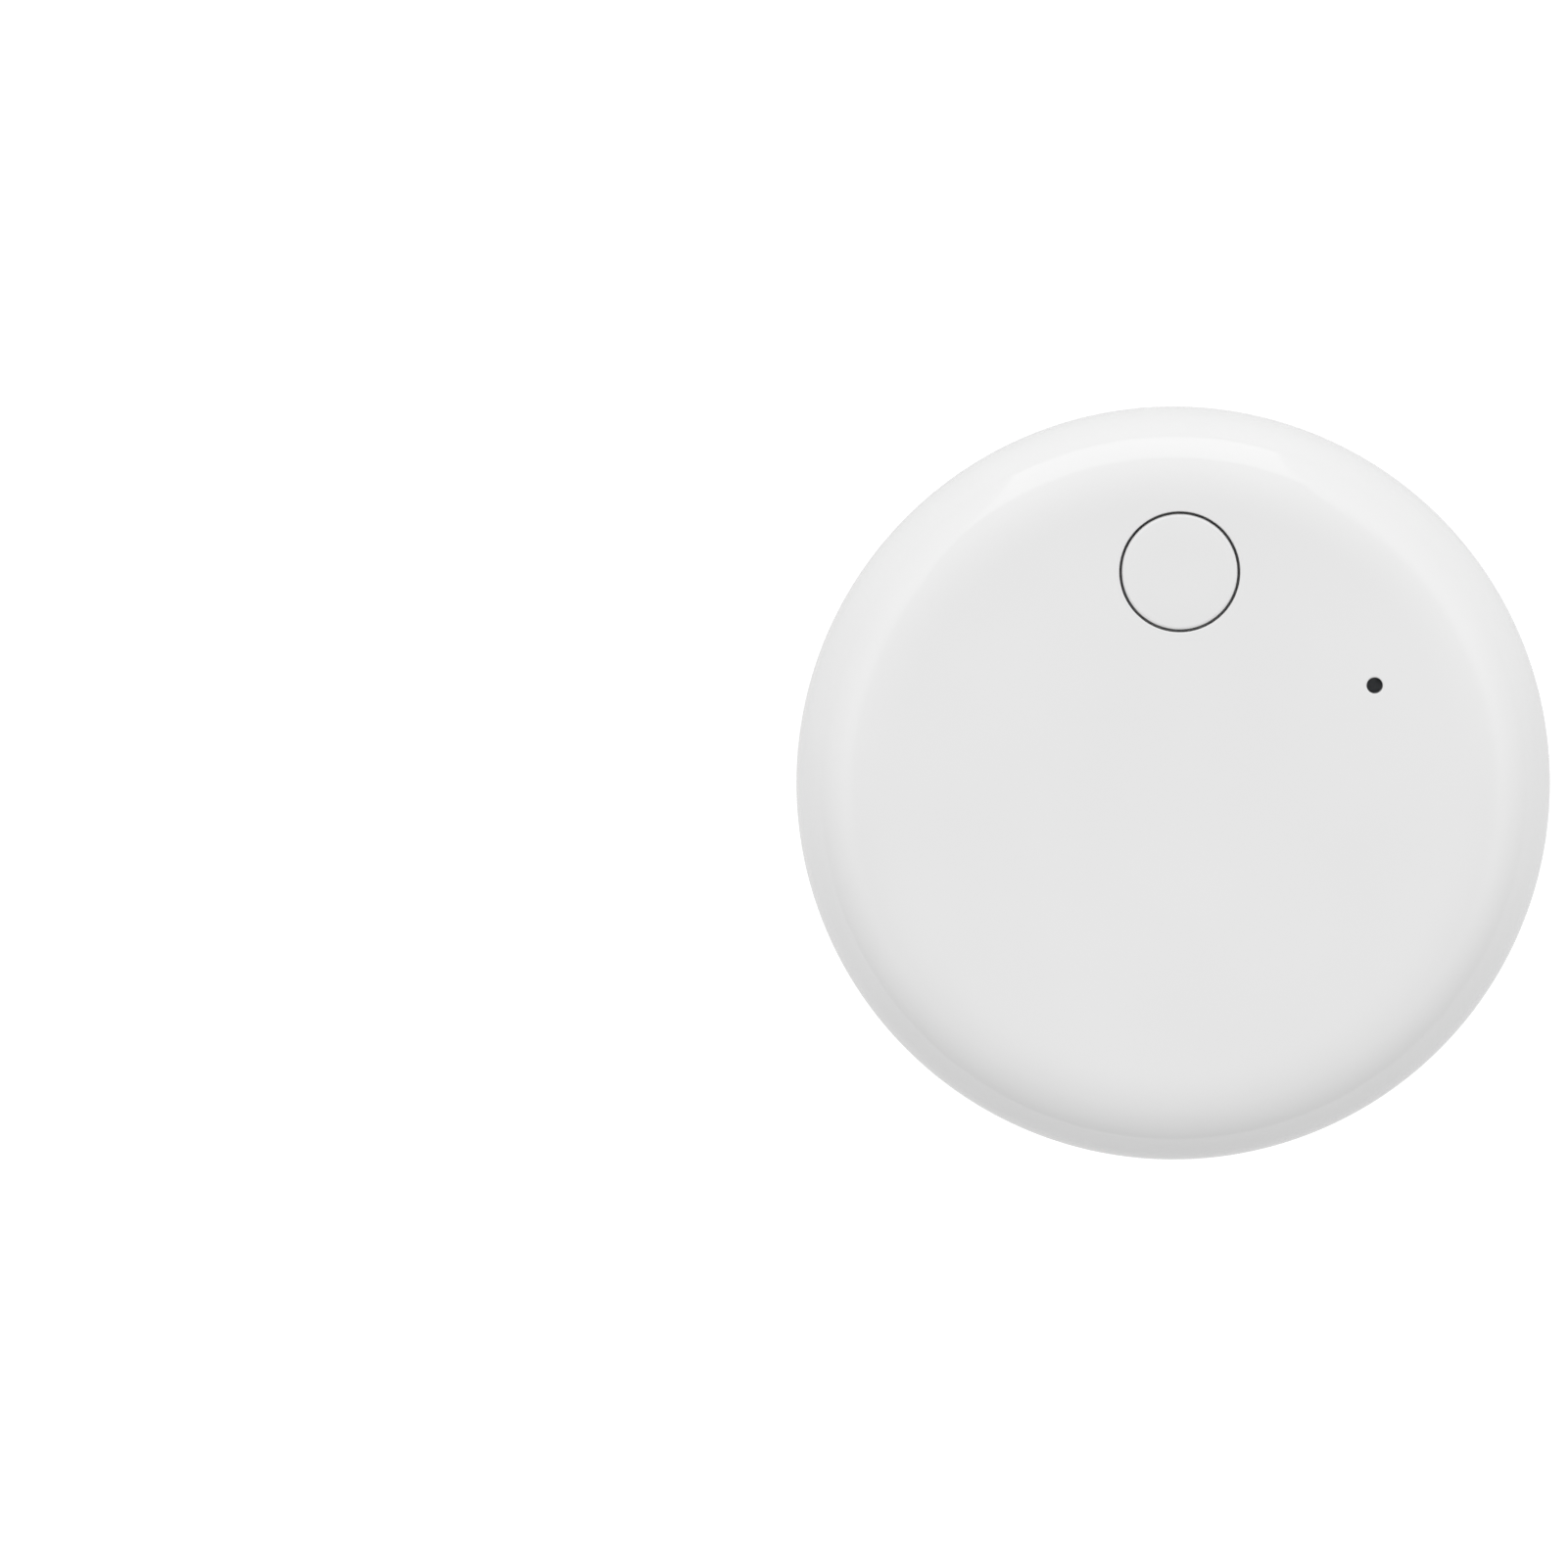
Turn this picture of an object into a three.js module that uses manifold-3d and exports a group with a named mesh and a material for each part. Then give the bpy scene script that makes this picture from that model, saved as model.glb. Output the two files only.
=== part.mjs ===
// A round key-finder tag: a two-shell plastic case with a press button and a sounder in
// front, and a twist-off cover at the back over a 20 mm coin cell. Millimetres, +Z up.
// The tag lies on its battery cover, its button faces up and sits on the +Y side.

import * as THREE from 'three';
import { mergeVertices } from 'three/addons/utils/BufferGeometryUtils.js';
import Module from 'manifold-3d';

const wasm = await Module();
wasm.setup();

// ---- Driving dimensions ----

// Outer form. Both shoulders are superellipses that meet at the rim.
const FORM = {
  radius: 16, height: 8, rimLevel: 3.6, crown: 0.1,
  frontShoulder: 4.2, frontPower: 2.6, backShoulder: 3, backDepth: 3.35, backPower: 2.3, steps: 9,
};
const SEAM = 0.06;        // line left open between the two shells
const FIT = 0.05;         // play between pieces that rest on each other
const BOND = 0.02;        // glue or solder line

// Coin cell, a standard 20 mm by 3.2 mm button cell: a cup whose lip is crimped over the cap.
const CELL = {
  radius: 10, height: 3.2, base: 1.35, wall: 0.28, corner: 0.25, crimp: 9.35, lipDrop: 0.2,
  lipWidth: 0.3, lipDepth: 0.2, lipSlope: 0.4, capRadius: 9.4, capStep: 0.5, capEdge: 0.12,
  film: 0.04, floorGap: 0.03,
};

// Front shell.
const FRONT = { inside: 7, faceRadius: 12.9, cavity: 14.5, lipRadius: 15.25, lipTop: 4.7 };

// Rear housing, with the seat, the bayonet track and the seal bore of the cover.
const REAR = {
  seat: 14.04, flange: 13.55, bore: 13.5, flangeBase: 1.1, flangeTop: 1.65, trackTop: 2.42,
  ledgeBase: 3.4, ledgeTop: 4.2, ledgeRadius: 10.85, tongueIn: 14.55, tongueOut: 15.15, tongueTop: 4.6,
};

// Battery cover, with its raised pad, skirt, seal groove and lugs.
const COVER = {
  pad: 13.08, padEdge: 0.15, padFoot: 13.31, edge: 13.95, inside: 1, skirtIn: 12.3, skirtOut: 13.45,
  groove: 12.8, grooveBase: 2.42, grooveTop: 3.08, lip: 13.35, top: 3.3, lugBase: 1.72, lugTop: 2.3,
};
const LUGS = { count: 3, width: 24, gap: 30, turn: 28, play: 1, stop: 4 };   // degrees
const SEAL = { centre: 13.17, section: 0.29, level: 2.75, sides: 10 };
const BUMPER = { radius: 6, thickness: 0.3 };

// Battery tray and circuit board.
const TRAY = { inner: 10.2, wall: 10.75, flange: 13.6, base: 1.5, flangeBase: 4.25, top: 4.95 };
const BOARD = { radius: 13.4, base: 5, top: 5.8, notch: 0.6 };

// Screws that hold the housing, tray and board to the front shell.
const SCREW = {
  circle: 12.05, angles: [0, 120, 240], shank: 0.6, head: 0.9, headBase: 3.42, headTop: 3.77,
  tip: 6.8, chamfer: 0.15, clearance: 0.8, recess: 1, recessTop: 3.8, slotLength: 1.17,
  slotWidth: 0.22, slotDepth: 0.2,
};
const BOSS = { radius: 1.2, hole: 0.65, base: 5.86, holeTop: 6.85 };

// Button and its switch.
const BUTTON = {
  y: 9.25, cap: 2.45, hole: 2.56, flange: 3.1, base: 6.7, flangeTop: 6.93, top: 7.95,
  edge: 0.15, plunger: 0.8, plungerBase: 6.2,
};
const SWITCH = { width: 4.2, depth: 3.2, height: 0.58, well: 0.875, wellFloor: 5.9 };

// Sounder: a brass plate with a ceramic disc, glued under the front face.
const SOUNDER = {
  x: 2.2, y: -1.4, radius: 7, glueInner: 6.2, glueTop: 6.98, glueBase: 6.84, plateBase: 6.7,
  plateTop: 6.82, ceramic: 4.75, ceramicBase: 6.48, ceramicTop: 6.68,
};
const SOUND_HOLE = { radius: 0.34, circle: 9.575, angle: 29, mesh: 1.2, meshBase: 6.8, meshTop: 6.98 };
const LEAD = { radius: 0.18, sides: 8, steps: 14 };
const LEAD_ROUTES = {   // [x, y, z] from the sounder down to the board
  red: [[-1, -4, 6.26], [-2.4, -5.3, 6.24], [-3.8, -6.6, 6.12], [-5.2, -7.8, 6]],
  black: [[-1.2, -6.1, 6.48], [-2, -7, 6.4], [-3, -8.2, 6.15], [-3.9, -9.3, 6]],
};

// Spring contacts.
const CONTACT = { sheet: 0.15, width: 2.5, slot: 2.9, angles: [60, 300], base: 2.2, foot: 12, slotBase: 1.9 };
const LEAF = { foot: -5, bend: -3, touch: 0.8, tip: 2 };   // along X, for the middle contact

// Number of flat sides that a round piece gets.
const SIDES = { large: 48, medium: 32, small: 16 };

// ---- Finishes ----

const finish = (color, roughness, metalness = 0) =>
  new THREE.MeshStandardMaterial({ color, roughness, metalness });

const FINISH = {
  whiteShell: finish('#ebebeb', 0.25),
  whiteInner: finish('#dddddd', 0.5),
  silicone: finish('#3a3a3c', 0.7),
  steel: finish('#b9bbbd', 0.3, 1),
  nickel: finish('#c9c4b4', 0.35, 1),
  brass: finish('#c9a24a', 0.3, 1),
  ceramic: finish('#d8cdb2', 0.6),
  gasket: finish('#2c2c2e', 0.6),
  board: finish('#1f5a3a', 0.45),
  moulding: finish('#202022', 0.5),
  passive: finish('#a88a63', 0.5),
  mesh: finish('#4a4c4e', 0.8),
  redLead: finish('#b3261e', 0.5),
  blackLead: finish('#1b1b1c', 0.5),
};

// ---- Solids ----

/** Turns closed geometry into a solid that can be joined and cut. */
function solid(geometry) {
  geometry.deleteAttribute('normal');
  geometry.deleteAttribute('uv');
  const merged = mergeVertices(geometry);
  return new wasm.Manifold(new wasm.Mesh({
    numProp: 3,
    vertProperties: new Float32Array(merged.attributes.position.array),
    triVerts: new Uint32Array(merged.index.array),
  }));
}

/** Spins a profile of [radius, height] points, listed anticlockwise, about the Z axis. */
function revolve(profile, sides = SIDES.large) {
  const points = profile.map(([r, z]) => new THREE.Vector2(r, z));
  if (profile[0][0] > 0) points.push(points[0].clone());
  return solid(new THREE.LatheGeometry(points, sides).rotateX(Math.PI / 2));
}

const ring = (inner, outer, base, top, sides) =>
  revolve([[inner, base], [outer, base], [outer, top], [inner, top]], sides);

const disc = (radius, base, top, sides) =>
  revolve([[0, base], [radius, base], [radius, top], [0, top]], sides);

/** A block from its size, its centre in plan and its lowest level. */
const block = (width, depth, height, [x, y] = [0, 0], base = 0) =>
  solid(new THREE.BoxGeometry(width, depth, height).translate(x, y, base + height / 2));

/** A flat outline of [x, y] points, extruded along Z. */
function prism(outline, base, top) {
  const shape = new THREE.Shape(outline.map(([x, y]) => new THREE.Vector2(x, y)));
  const options = { depth: top - base, bevelEnabled: false };
  return solid(new THREE.ExtrudeGeometry(shape, options).translate(0, 0, base));
}

const radians = THREE.MathUtils.degToRad;
const polar = (radius, degrees) => [radius * Math.cos(radians(degrees)), radius * Math.sin(radians(degrees))];
const turned = (piece, degrees) => piece.rotate([0, 0, degrees]);
const moved = (piece, [x, y]) => piece.translate([x, y, 0]);

/** A wedge from the axis, wider than the tag, between two angles in degrees. */
function wedge(from, to, base, top) {
  const reach = 2 * FORM.radius;
  return prism([[0, 0], polar(reach, from), polar(reach, to)], base, top);
}

/** The part of a ring between two angles in degrees. */
const arcBlock = (inner, outer, from, to, base, top) =>
  ring(inner, outer, base, top).intersect(wedge(from, to, base - 1, top + 1));

/** The angle at the middle of each opening of the bayonet track. */
const lugAngles = Array.from({ length: LUGS.count }, (_, i) => (360 / LUGS.count) * i + 30);

/** Points on a quarter superellipse, as [across, up] from [1, 0] to [0, 1]. */
function shoulder(exponent) {
  const power = 2 / exponent;
  return Array.from({ length: FORM.steps + 1 }, (_, i) => {
    const angle = (Math.PI / 2) * (i / FORM.steps);
    return [Math.max(0, Math.cos(angle)) ** power, Math.sin(angle) ** power];
  });
}

/** Height of the back surface outside the cover's pad, at a radius. */
function backHeight(r) {
  const across = (r - (FORM.radius - FORM.backShoulder)) / FORM.backShoulder;
  return FORM.rimLevel - FORM.backDepth * (1 - across ** FORM.backPower) ** (1 / FORM.backPower);
}

/** The outside of the front shell, from the rim to the middle of the face. */
function frontOutline() {
  const rise = FORM.height - FORM.rimLevel - FORM.crown;
  const curve = shoulder(FORM.frontPower).map(([across, up]) => {
    const r = FORM.radius - FORM.frontShoulder * (1 - across);
    return [r, FORM.rimLevel + FORM.crown + rise * up - FORM.crown * (r / FORM.radius) ** 2];
  });
  curve[0] = [FORM.radius, FORM.rimLevel + SEAM / 2];
  const middle = (FORM.radius - FORM.frontShoulder) / 2;
  const crownAt = FORM.height - FORM.crown * (middle / FORM.radius) ** 2;
  return [...curve, [middle, crownAt], [0, FORM.height]];
}

/** The outside of the rear housing, from the cover's seat to the rim. */
function backOutline() {
  const curve = shoulder(FORM.backPower).reverse().map(([across]) => {
    const r = FORM.radius - FORM.backShoulder * (1 - across);
    return [r, backHeight(r)];
  });
  const outer = curve.filter(([r]) => r > REAR.seat + SEAM && r < FORM.radius - 1e-3);
  return [[REAR.seat, backHeight(REAR.seat)], ...outer, [FORM.radius, FORM.rimLevel - SEAM / 2]];
}

// ---- Case ----

/** Front shell: face, shoulder and wall, with screw bosses, button hole and sound hole. */
function frontShell() {
  const round = FRONT.cavity - FRONT.faceRadius;
  const corner = [0, 1, 2, 3, 4].map((i) => {
    const angle = (Math.PI / 2) * (1 - i / 4);
    return [FRONT.faceRadius + round * Math.cos(angle), FRONT.inside - round * (1 - Math.sin(angle))];
  });
  let shell = revolve([
    [0, FRONT.inside], ...corner, [FRONT.cavity, FRONT.lipTop], [FRONT.lipRadius, FRONT.lipTop],
    [FRONT.lipRadius, FORM.rimLevel + SEAM / 2], ...frontOutline(),
  ]);
  for (const angle of SCREW.angles) {
    const place = polar(SCREW.circle, angle);
    shell = shell.add(moved(disc(BOSS.radius, BOSS.base, FRONT.inside + FIT, SIDES.small), place));
    shell = shell.subtract(moved(disc(BOSS.hole, BOSS.base - 1, BOSS.holeTop, SIDES.small), place));
  }
  const soundHole = disc(SOUND_HOLE.radius, FRONT.inside - 1, FORM.height + 1, SIDES.small);
  shell = shell.subtract(moved(soundHole, polar(SOUND_HOLE.circle, SOUND_HOLE.angle)));
  const buttonHole = disc(BUTTON.hole, FRONT.inside - 1, FORM.height + 1, SIDES.medium);
  return shell.subtract(moved(buttonHole, [0, BUTTON.y]));
}

/** Rear housing: ring-shaped shell with the bayonet track and the ledge for the screws. */
function rearHousing() {
  let housing = revolve([
    ...backOutline(), [REAR.tongueOut, FORM.rimLevel - SEAM / 2],
    [REAR.tongueOut, REAR.tongueTop], [REAR.tongueIn, REAR.tongueTop],
    [REAR.tongueIn, REAR.ledgeTop], [REAR.ledgeRadius, REAR.ledgeTop],
    [REAR.ledgeRadius, REAR.ledgeBase], [REAR.bore, REAR.ledgeBase],
    [REAR.bore, REAR.trackTop], [REAR.seat, REAR.trackTop],
    [REAR.seat, REAR.flangeTop], [REAR.flange, REAR.flangeTop],
    [REAR.flange, REAR.flangeBase], [REAR.seat, REAR.flangeBase],
  ]);
  const lugEnd = LUGS.width / 2 + LUGS.play;
  for (const middle of lugAngles) {
    const from = middle - LUGS.gap / 2;
    housing = housing.subtract(
      arcBlock(REAR.flange - 1, REAR.seat, from, from + LUGS.gap, REAR.flangeBase, REAR.flangeTop));
    for (const stop of [middle - lugEnd - LUGS.stop, middle + LUGS.turn + lugEnd]) {
      housing = housing.add(
        arcBlock(REAR.bore, REAR.seat + FIT, stop, stop + LUGS.stop, REAR.flangeTop, REAR.trackTop));
    }
  }
  for (const angle of SCREW.angles) {
    const place = polar(SCREW.circle, angle);
    const hole = disc(SCREW.clearance, REAR.ledgeBase - FIT, REAR.ledgeTop + FIT, SIDES.small);
    const recess = disc(SCREW.recess, REAR.ledgeBase - FIT, SCREW.recessTop, SIDES.small);
    housing = housing.subtract(moved(hole.add(recess), place));
  }
  return housing;
}

/** Battery cover: plate with a raised pad, a skirt with a seal groove, and three lugs. */
function batteryCover() {
  const corner = [0, 1, 2, 3].map((i) => {
    const angle = (Math.PI / 2) * (i / 3);
    return [COVER.pad + COVER.padEdge * Math.sin(angle), COVER.padEdge * (1 - Math.cos(angle))];
  });
  const slopeMiddle = (COVER.padFoot + COVER.edge) / 2;
  let cover = revolve([
    [0, 0], ...corner, [COVER.padFoot, backHeight(COVER.padFoot)],
    [slopeMiddle, backHeight(slopeMiddle)], [COVER.edge, backHeight(COVER.edge)],
    [COVER.edge, COVER.inside], [COVER.skirtOut, COVER.inside],
    [COVER.skirtOut, COVER.grooveBase], [COVER.groove, COVER.grooveBase],
    [COVER.groove, COVER.grooveTop], [COVER.lip, COVER.grooveTop], [COVER.lip, COVER.top],
    [COVER.skirtIn, COVER.top], [COVER.skirtIn, COVER.inside], [0, COVER.inside],
  ]);
  for (const middle of lugAngles) {
    const from = middle - LUGS.width / 2;
    cover = cover.add(
      arcBlock(COVER.skirtOut - FIT, COVER.edge, from, from + LUGS.width, COVER.lugBase, COVER.lugTop));
  }
  return cover;
}

/** O-ring in the cover's groove. */
function coverSeal() {
  const section = Array.from({ length: SEAL.sides }, (_, i) => {
    const angle = 2 * Math.PI * (i / SEAL.sides);
    return [SEAL.centre + SEAL.section * Math.cos(angle), SEAL.level + SEAL.section * Math.sin(angle)];
  });
  return revolve(section);
}

/** Screw with a flat head, a cross recess and a pointed tip, head down. */
function caseScrew() {
  const { head, shank, chamfer, headBase, headTop, tip } = SCREW;
  const body = revolve([
    [0, headBase], [head - chamfer, headBase], [head, headBase + chamfer], [head, headTop],
    [shank, headTop], [shank, tip - shank / 2], [shank / 2, tip], [0, tip],
  ], SIDES.small);
  const bar = block(
    SCREW.slotLength, SCREW.slotWidth, 2 * SCREW.slotDepth, [0, 0], headBase - SCREW.slotDepth);
  return body.subtract(bar).subtract(turned(bar, 90));
}

// ---- Coin cell ----

/** Steel cup of the cell, positive side down, crimped over the gasket. */
function cellCan() {
  const { radius, base, height, wall, corner, crimp, lipDrop, lipWidth, lipDepth, lipSlope } = CELL;
  const top = base + height - lipDrop;
  return revolve([
    [0, base], [radius - corner, base], [radius, base + corner], [radius, top - corner],
    [radius - lipWidth, top], [crimp, top], [crimp, top - lipDepth], [radius - wall, top - lipSlope],
    [radius - wall, base + wall], [0, base + wall],
  ]);
}

/** Insulating ring between the cup and the cap. */
function cellGasket() {
  const { radius, base, height, wall, crimp, lipDrop, lipDepth, lipSlope, capRadius, film } = CELL;
  const top = base + height - lipDrop - BOND;
  const floor = base + wall + CELL.floorGap;
  const outer = radius - wall - film;
  const inner = capRadius + film;
  const neck = inner - CELL.capStep;
  return revolve([
    [inner, floor], [outer, floor], [outer, top - lipSlope], [crimp - FIT, top - lipDepth],
    [crimp - FIT, top], [neck, top], [neck, top - lipDepth], [inner, top - lipSlope],
  ]);
}

/** Negative cap of the cell with the electrodes behind it, as one solid. */
function cellCap() {
  const { base, height, wall, lipDrop, lipDepth, lipSlope, capRadius, capStep, capEdge, film } = CELL;
  const top = base + height;
  const floor = base + wall + CELL.floorGap;
  const neck = capRadius - capStep;
  return revolve([
    [0, floor], [capRadius, floor], [capRadius, top - lipDrop - lipSlope - film],
    [neck, top - lipDrop - lipDepth - film], [neck, top - capEdge], [neck - capEdge, top], [0, top],
  ]);
}

// ---- Tray, board and contacts ----

/** Places the slot of each side contact in the tray. */
function contactSlot(angle) {
  const length = CONTACT.foot - TRAY.inner + 1;
  const middle = (CONTACT.foot + TRAY.inner) / 2;
  return turned(block(length, CONTACT.slot, TRAY.top, [middle, 0], CONTACT.slotBase), angle);
}

/** Battery tray: wall around the cell and a flange that carries the board. */
function batteryTray() {
  let tray = revolve([
    [TRAY.inner, TRAY.base], [TRAY.wall, TRAY.base], [TRAY.wall, TRAY.flangeBase],
    [TRAY.flange, TRAY.flangeBase], [TRAY.flange, TRAY.top], [TRAY.inner, TRAY.top],
  ]);
  for (const angle of SCREW.angles) {
    const hole = disc(SCREW.clearance, TRAY.flangeBase - 1, TRAY.top + 1, SIDES.small);
    tray = tray.subtract(moved(hole, polar(SCREW.circle, angle)));
  }
  for (const angle of CONTACT.angles) tray = tray.subtract(contactSlot(angle));
  return tray;
}

/** Round circuit board with screw holes and a keying notch. */
function circuitBoard() {
  let board = disc(BOARD.radius, BOARD.base, BOARD.top);
  for (const angle of SCREW.angles) {
    const hole = disc(SCREW.clearance, BOARD.base - 1, BOARD.top + 1, SIDES.small);
    board = board.subtract(moved(hole, polar(SCREW.circle, angle)));
  }
  const notch = disc(BOARD.notch, BOARD.base - 1, BOARD.top + 1, SIDES.small);
  return board.subtract(moved(notch, polar(BOARD.radius, 270)));
}

/** Side contact: a sheet finger along the cell's wall, with a soldered foot. */
function positiveContact() {
  const inner = CELL.radius + FIT;
  const top = BOARD.base - BOND;
  const { sheet, base, foot } = CONTACT;
  const outline = [
    [inner, base], [inner + sheet, base], [inner + sheet, top - sheet], [foot, top - sheet],
    [foot, top], [inner, top],
  ];
  return solidAcross(outline, CONTACT.width);
}

/** Middle contact: a bowed leaf that presses on the cell's cap, with a soldered foot. */
function negativeContact() {
  const top = BOARD.base - BOND;
  const low = CELL.base + CELL.height + BOND;
  const { sheet } = CONTACT;
  const { foot, bend, touch, tip } = LEAF;
  const outline = [
    [foot, top - sheet], [bend, top - sheet], [-touch, low], [touch, low], [tip, low + sheet],
    [tip, low + 2 * sheet], [touch, low + sheet], [-touch, low + sheet], [bend, top], [foot, top],
  ];
  return solidAcross(outline, CONTACT.width);
}

/** An outline of [x, z] points, extruded across by a width centred on the XZ plane. */
function solidAcross(outline, width) {
  return prism(outline, -width / 2, width / 2).rotate([90, 0, 0]);
}

// ---- Button and sounder ----

/** Button cap with a retaining flange. */
function buttonCap() {
  const { cap, flange, flangeTop, base, top, edge } = BUTTON;
  const corner = [0, 1, 2, 3].map((i) => {
    const angle = (Math.PI / 2) * (i / 3);
    return [cap - edge * (1 - Math.cos(angle)), top - edge - FIT / 2 + edge * Math.sin(angle)];
  });
  return revolve([[0, base], [flange, base], [flange, flangeTop], [cap, flangeTop], ...corner, [0, top]],
    SIDES.medium);
}

/** Switch body with the well that its plunger moves in. */
function switchBody() {
  const body = block(SWITCH.width, SWITCH.depth, SWITCH.height, [0, 0], BOARD.top + BOND);
  return body.subtract(disc(SWITCH.well, SWITCH.wellFloor, BUTTON.base, SIDES.small));
}

/** A lead: a round tube along a smooth curve through the given points. */
function lead(points) {
  const path = new THREE.CatmullRomCurve3(points.map((point) => new THREE.Vector3(...point)));
  const section = new THREE.Shape(Array.from({ length: LEAD.sides }, (_, i) =>
    new THREE.Vector2(...polar(LEAD.radius, (360 / LEAD.sides) * i))));
  return solid(new THREE.ExtrudeGeometry(section, { steps: LEAD.steps, extrudePath: path }));
}

// ---- Parts on the board ----

const PACKAGE = {
  lidInset: 0.15, lidLevel: 0.55, dimple: 0.06, dimpleLeast: 0.05, dimpleAt: 0.36,
  foot: 0.3, drum: 0.48, endCap: 0.22, proud: 0.02,
};

/** A part with a lid that is narrower than its base, such as a crystal. */
function liddedPart([width, depth, height]) {
  const inset = 2 * PACKAGE.lidInset;
  const level = PACKAGE.lidLevel * height;
  const lid = block(width - inset, depth - inset, height - level + FIT, [0, 0], level - FIT);
  return block(width, depth, level).add(lid);
}

/** A moulded chip with a dimple that marks its first pin. */
function chip([width, depth, height]) {
  const { dimple, dimpleLeast, dimpleAt } = PACKAGE;
  const mark = disc(dimple * width + dimpleLeast, height - FIT, height + 1, SIDES.small);
  return block(width, depth, height).subtract(moved(mark, [-dimpleAt * width, dimpleAt * depth]));
}

/** A drum-shaped inductor with a square foot. */
function inductor([width, depth, height]) {
  const foot = PACKAGE.foot * height;
  const drum = disc(PACKAGE.drum * Math.min(width, depth), foot - FIT, height, SIDES.medium);
  return block(width, depth, foot).add(drum);
}

/** A plain two-ended part whose end caps stand slightly proud. */
function endCapped([width, depth, height]) {
  const cap = PACKAGE.endCap * width;
  const { proud } = PACKAGE;
  const middle = block(width - cap, depth - 2 * proud, height - proud, [0, 0], proud / 2);
  const ends = [-1, 1].map((side) => block(cap, depth, height, [(side * (width - cap)) / 2, 0]));
  return middle.add(ends[0]).add(ends[1]);
}

// name, shape, size, place as [radius, angle], turn in degrees, finish
const BOARD_PARTS = [
  ['bluetooth_chip', chip, [5, 5, 0.7], [6.04, 155.5], 0, 'moulding'],
  ['main_crystal', liddedPart, [2, 1.6, 0.5], [9.9, 173], 83, 'steel'],
  ['clock_crystal', liddedPart, [3.2, 1.5, 0.7], [6.5, 200], 110, 'steel'],
  ['chip_antenna', endCapped, [5.2, 2, 0.9], [11.4, 149], 59, 'ceramic'],
  ['boost_inductor', inductor, [3, 3, 1], [11, 54], 54, 'moulding'],
  ['sounder_driver', chip, [2.9, 1.6, 0.9], [11, 293], 23, 'moulding'],
  ['bulk_capacitor_1', endCapped, [3.2, 2.5, 1], [11.2, 325], 55, 'passive'],
  ['bulk_capacitor_2', endCapped, [3.2, 2.5, 1], [11.2, 345], 75, 'passive'],
];
const SMALL_PART = { size: [1, 0.5, 0.35], capacitors: 5, resistors: 3, circle: 11.4, from: 185, step: 6.5 };

/** A row of small capacitors and resistors along the edge of the board. */
function smallParts() {
  const names = [
    ...Array.from({ length: SMALL_PART.capacitors }, (_, i) => [`capacitor_${i + 1}`, 'passive']),
    ...Array.from({ length: SMALL_PART.resistors }, (_, i) => [`resistor_${i + 1}`, 'moulding']),
  ];
  return names.map(([name, look], i) => {
    const angle = SMALL_PART.from + SMALL_PART.step * i;
    return [name, endCapped, SMALL_PART.size, [SMALL_PART.circle, angle], angle, look];
  });
}

// ---- Assembly ----

/** A named mesh of one solid, placed in plan and turned about Z. */
function mesh(name, piece, look, [x, y, z] = [0, 0, 0], turn = 0) {
  const { vertProperties, triVerts } = piece.getMesh();
  const geometry = new THREE.BufferGeometry();
  geometry.setAttribute('position', new THREE.BufferAttribute(vertProperties, 3));
  geometry.setIndex(new THREE.BufferAttribute(triVerts, 1));
  geometry.computeVertexNormals();
  const made = new THREE.Mesh(geometry, FINISH[look]);
  made.name = name;
  made.position.set(x, y, z);
  made.rotation.z = radians(turn);
  return made;
}

function caseGroup() {
  const group = new THREE.Group();
  group.add(mesh('front_shell', frontShell(), 'whiteShell'));
  group.add(mesh('rear_housing', rearHousing(), 'whiteShell'));
  SCREW.angles.forEach((angle, i) => {
    group.add(mesh(`case_screw_${i + 1}`, caseScrew(), 'steel', [...polar(SCREW.circle, angle), 0], angle));
  });
  return group;
}

function coverGroup() {
  const group = new THREE.Group();
  const bumperBase = COVER.inside + BOND;
  group.add(mesh('battery_cover', batteryCover(), 'whiteShell'));
  group.add(mesh('cover_seal', coverSeal(), 'silicone'));
  group.add(mesh('cell_bumper', disc(BUMPER.radius, bumperBase, bumperBase + BUMPER.thickness), 'silicone'));
  return group;
}

function cellGroup() {
  const group = new THREE.Group();
  group.add(mesh('cell_can', cellCan(), 'steel'));
  group.add(mesh('cell_gasket', cellGasket(), 'gasket'));
  group.add(mesh('cell_cap', cellCap(), 'steel'));
  return group;
}

function buttonGroup() {
  const group = new THREE.Group();
  group.position.y = BUTTON.y;
  group.add(mesh('button_cap', buttonCap(), 'whiteShell'));
  const plunger = disc(BUTTON.plunger, BUTTON.plungerBase, BUTTON.base - BOND, SIDES.small);
  group.add(mesh('switch_plunger', plunger, 'moulding'));
  group.add(mesh('switch_body', switchBody(), 'moulding'));
  return group;
}

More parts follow.
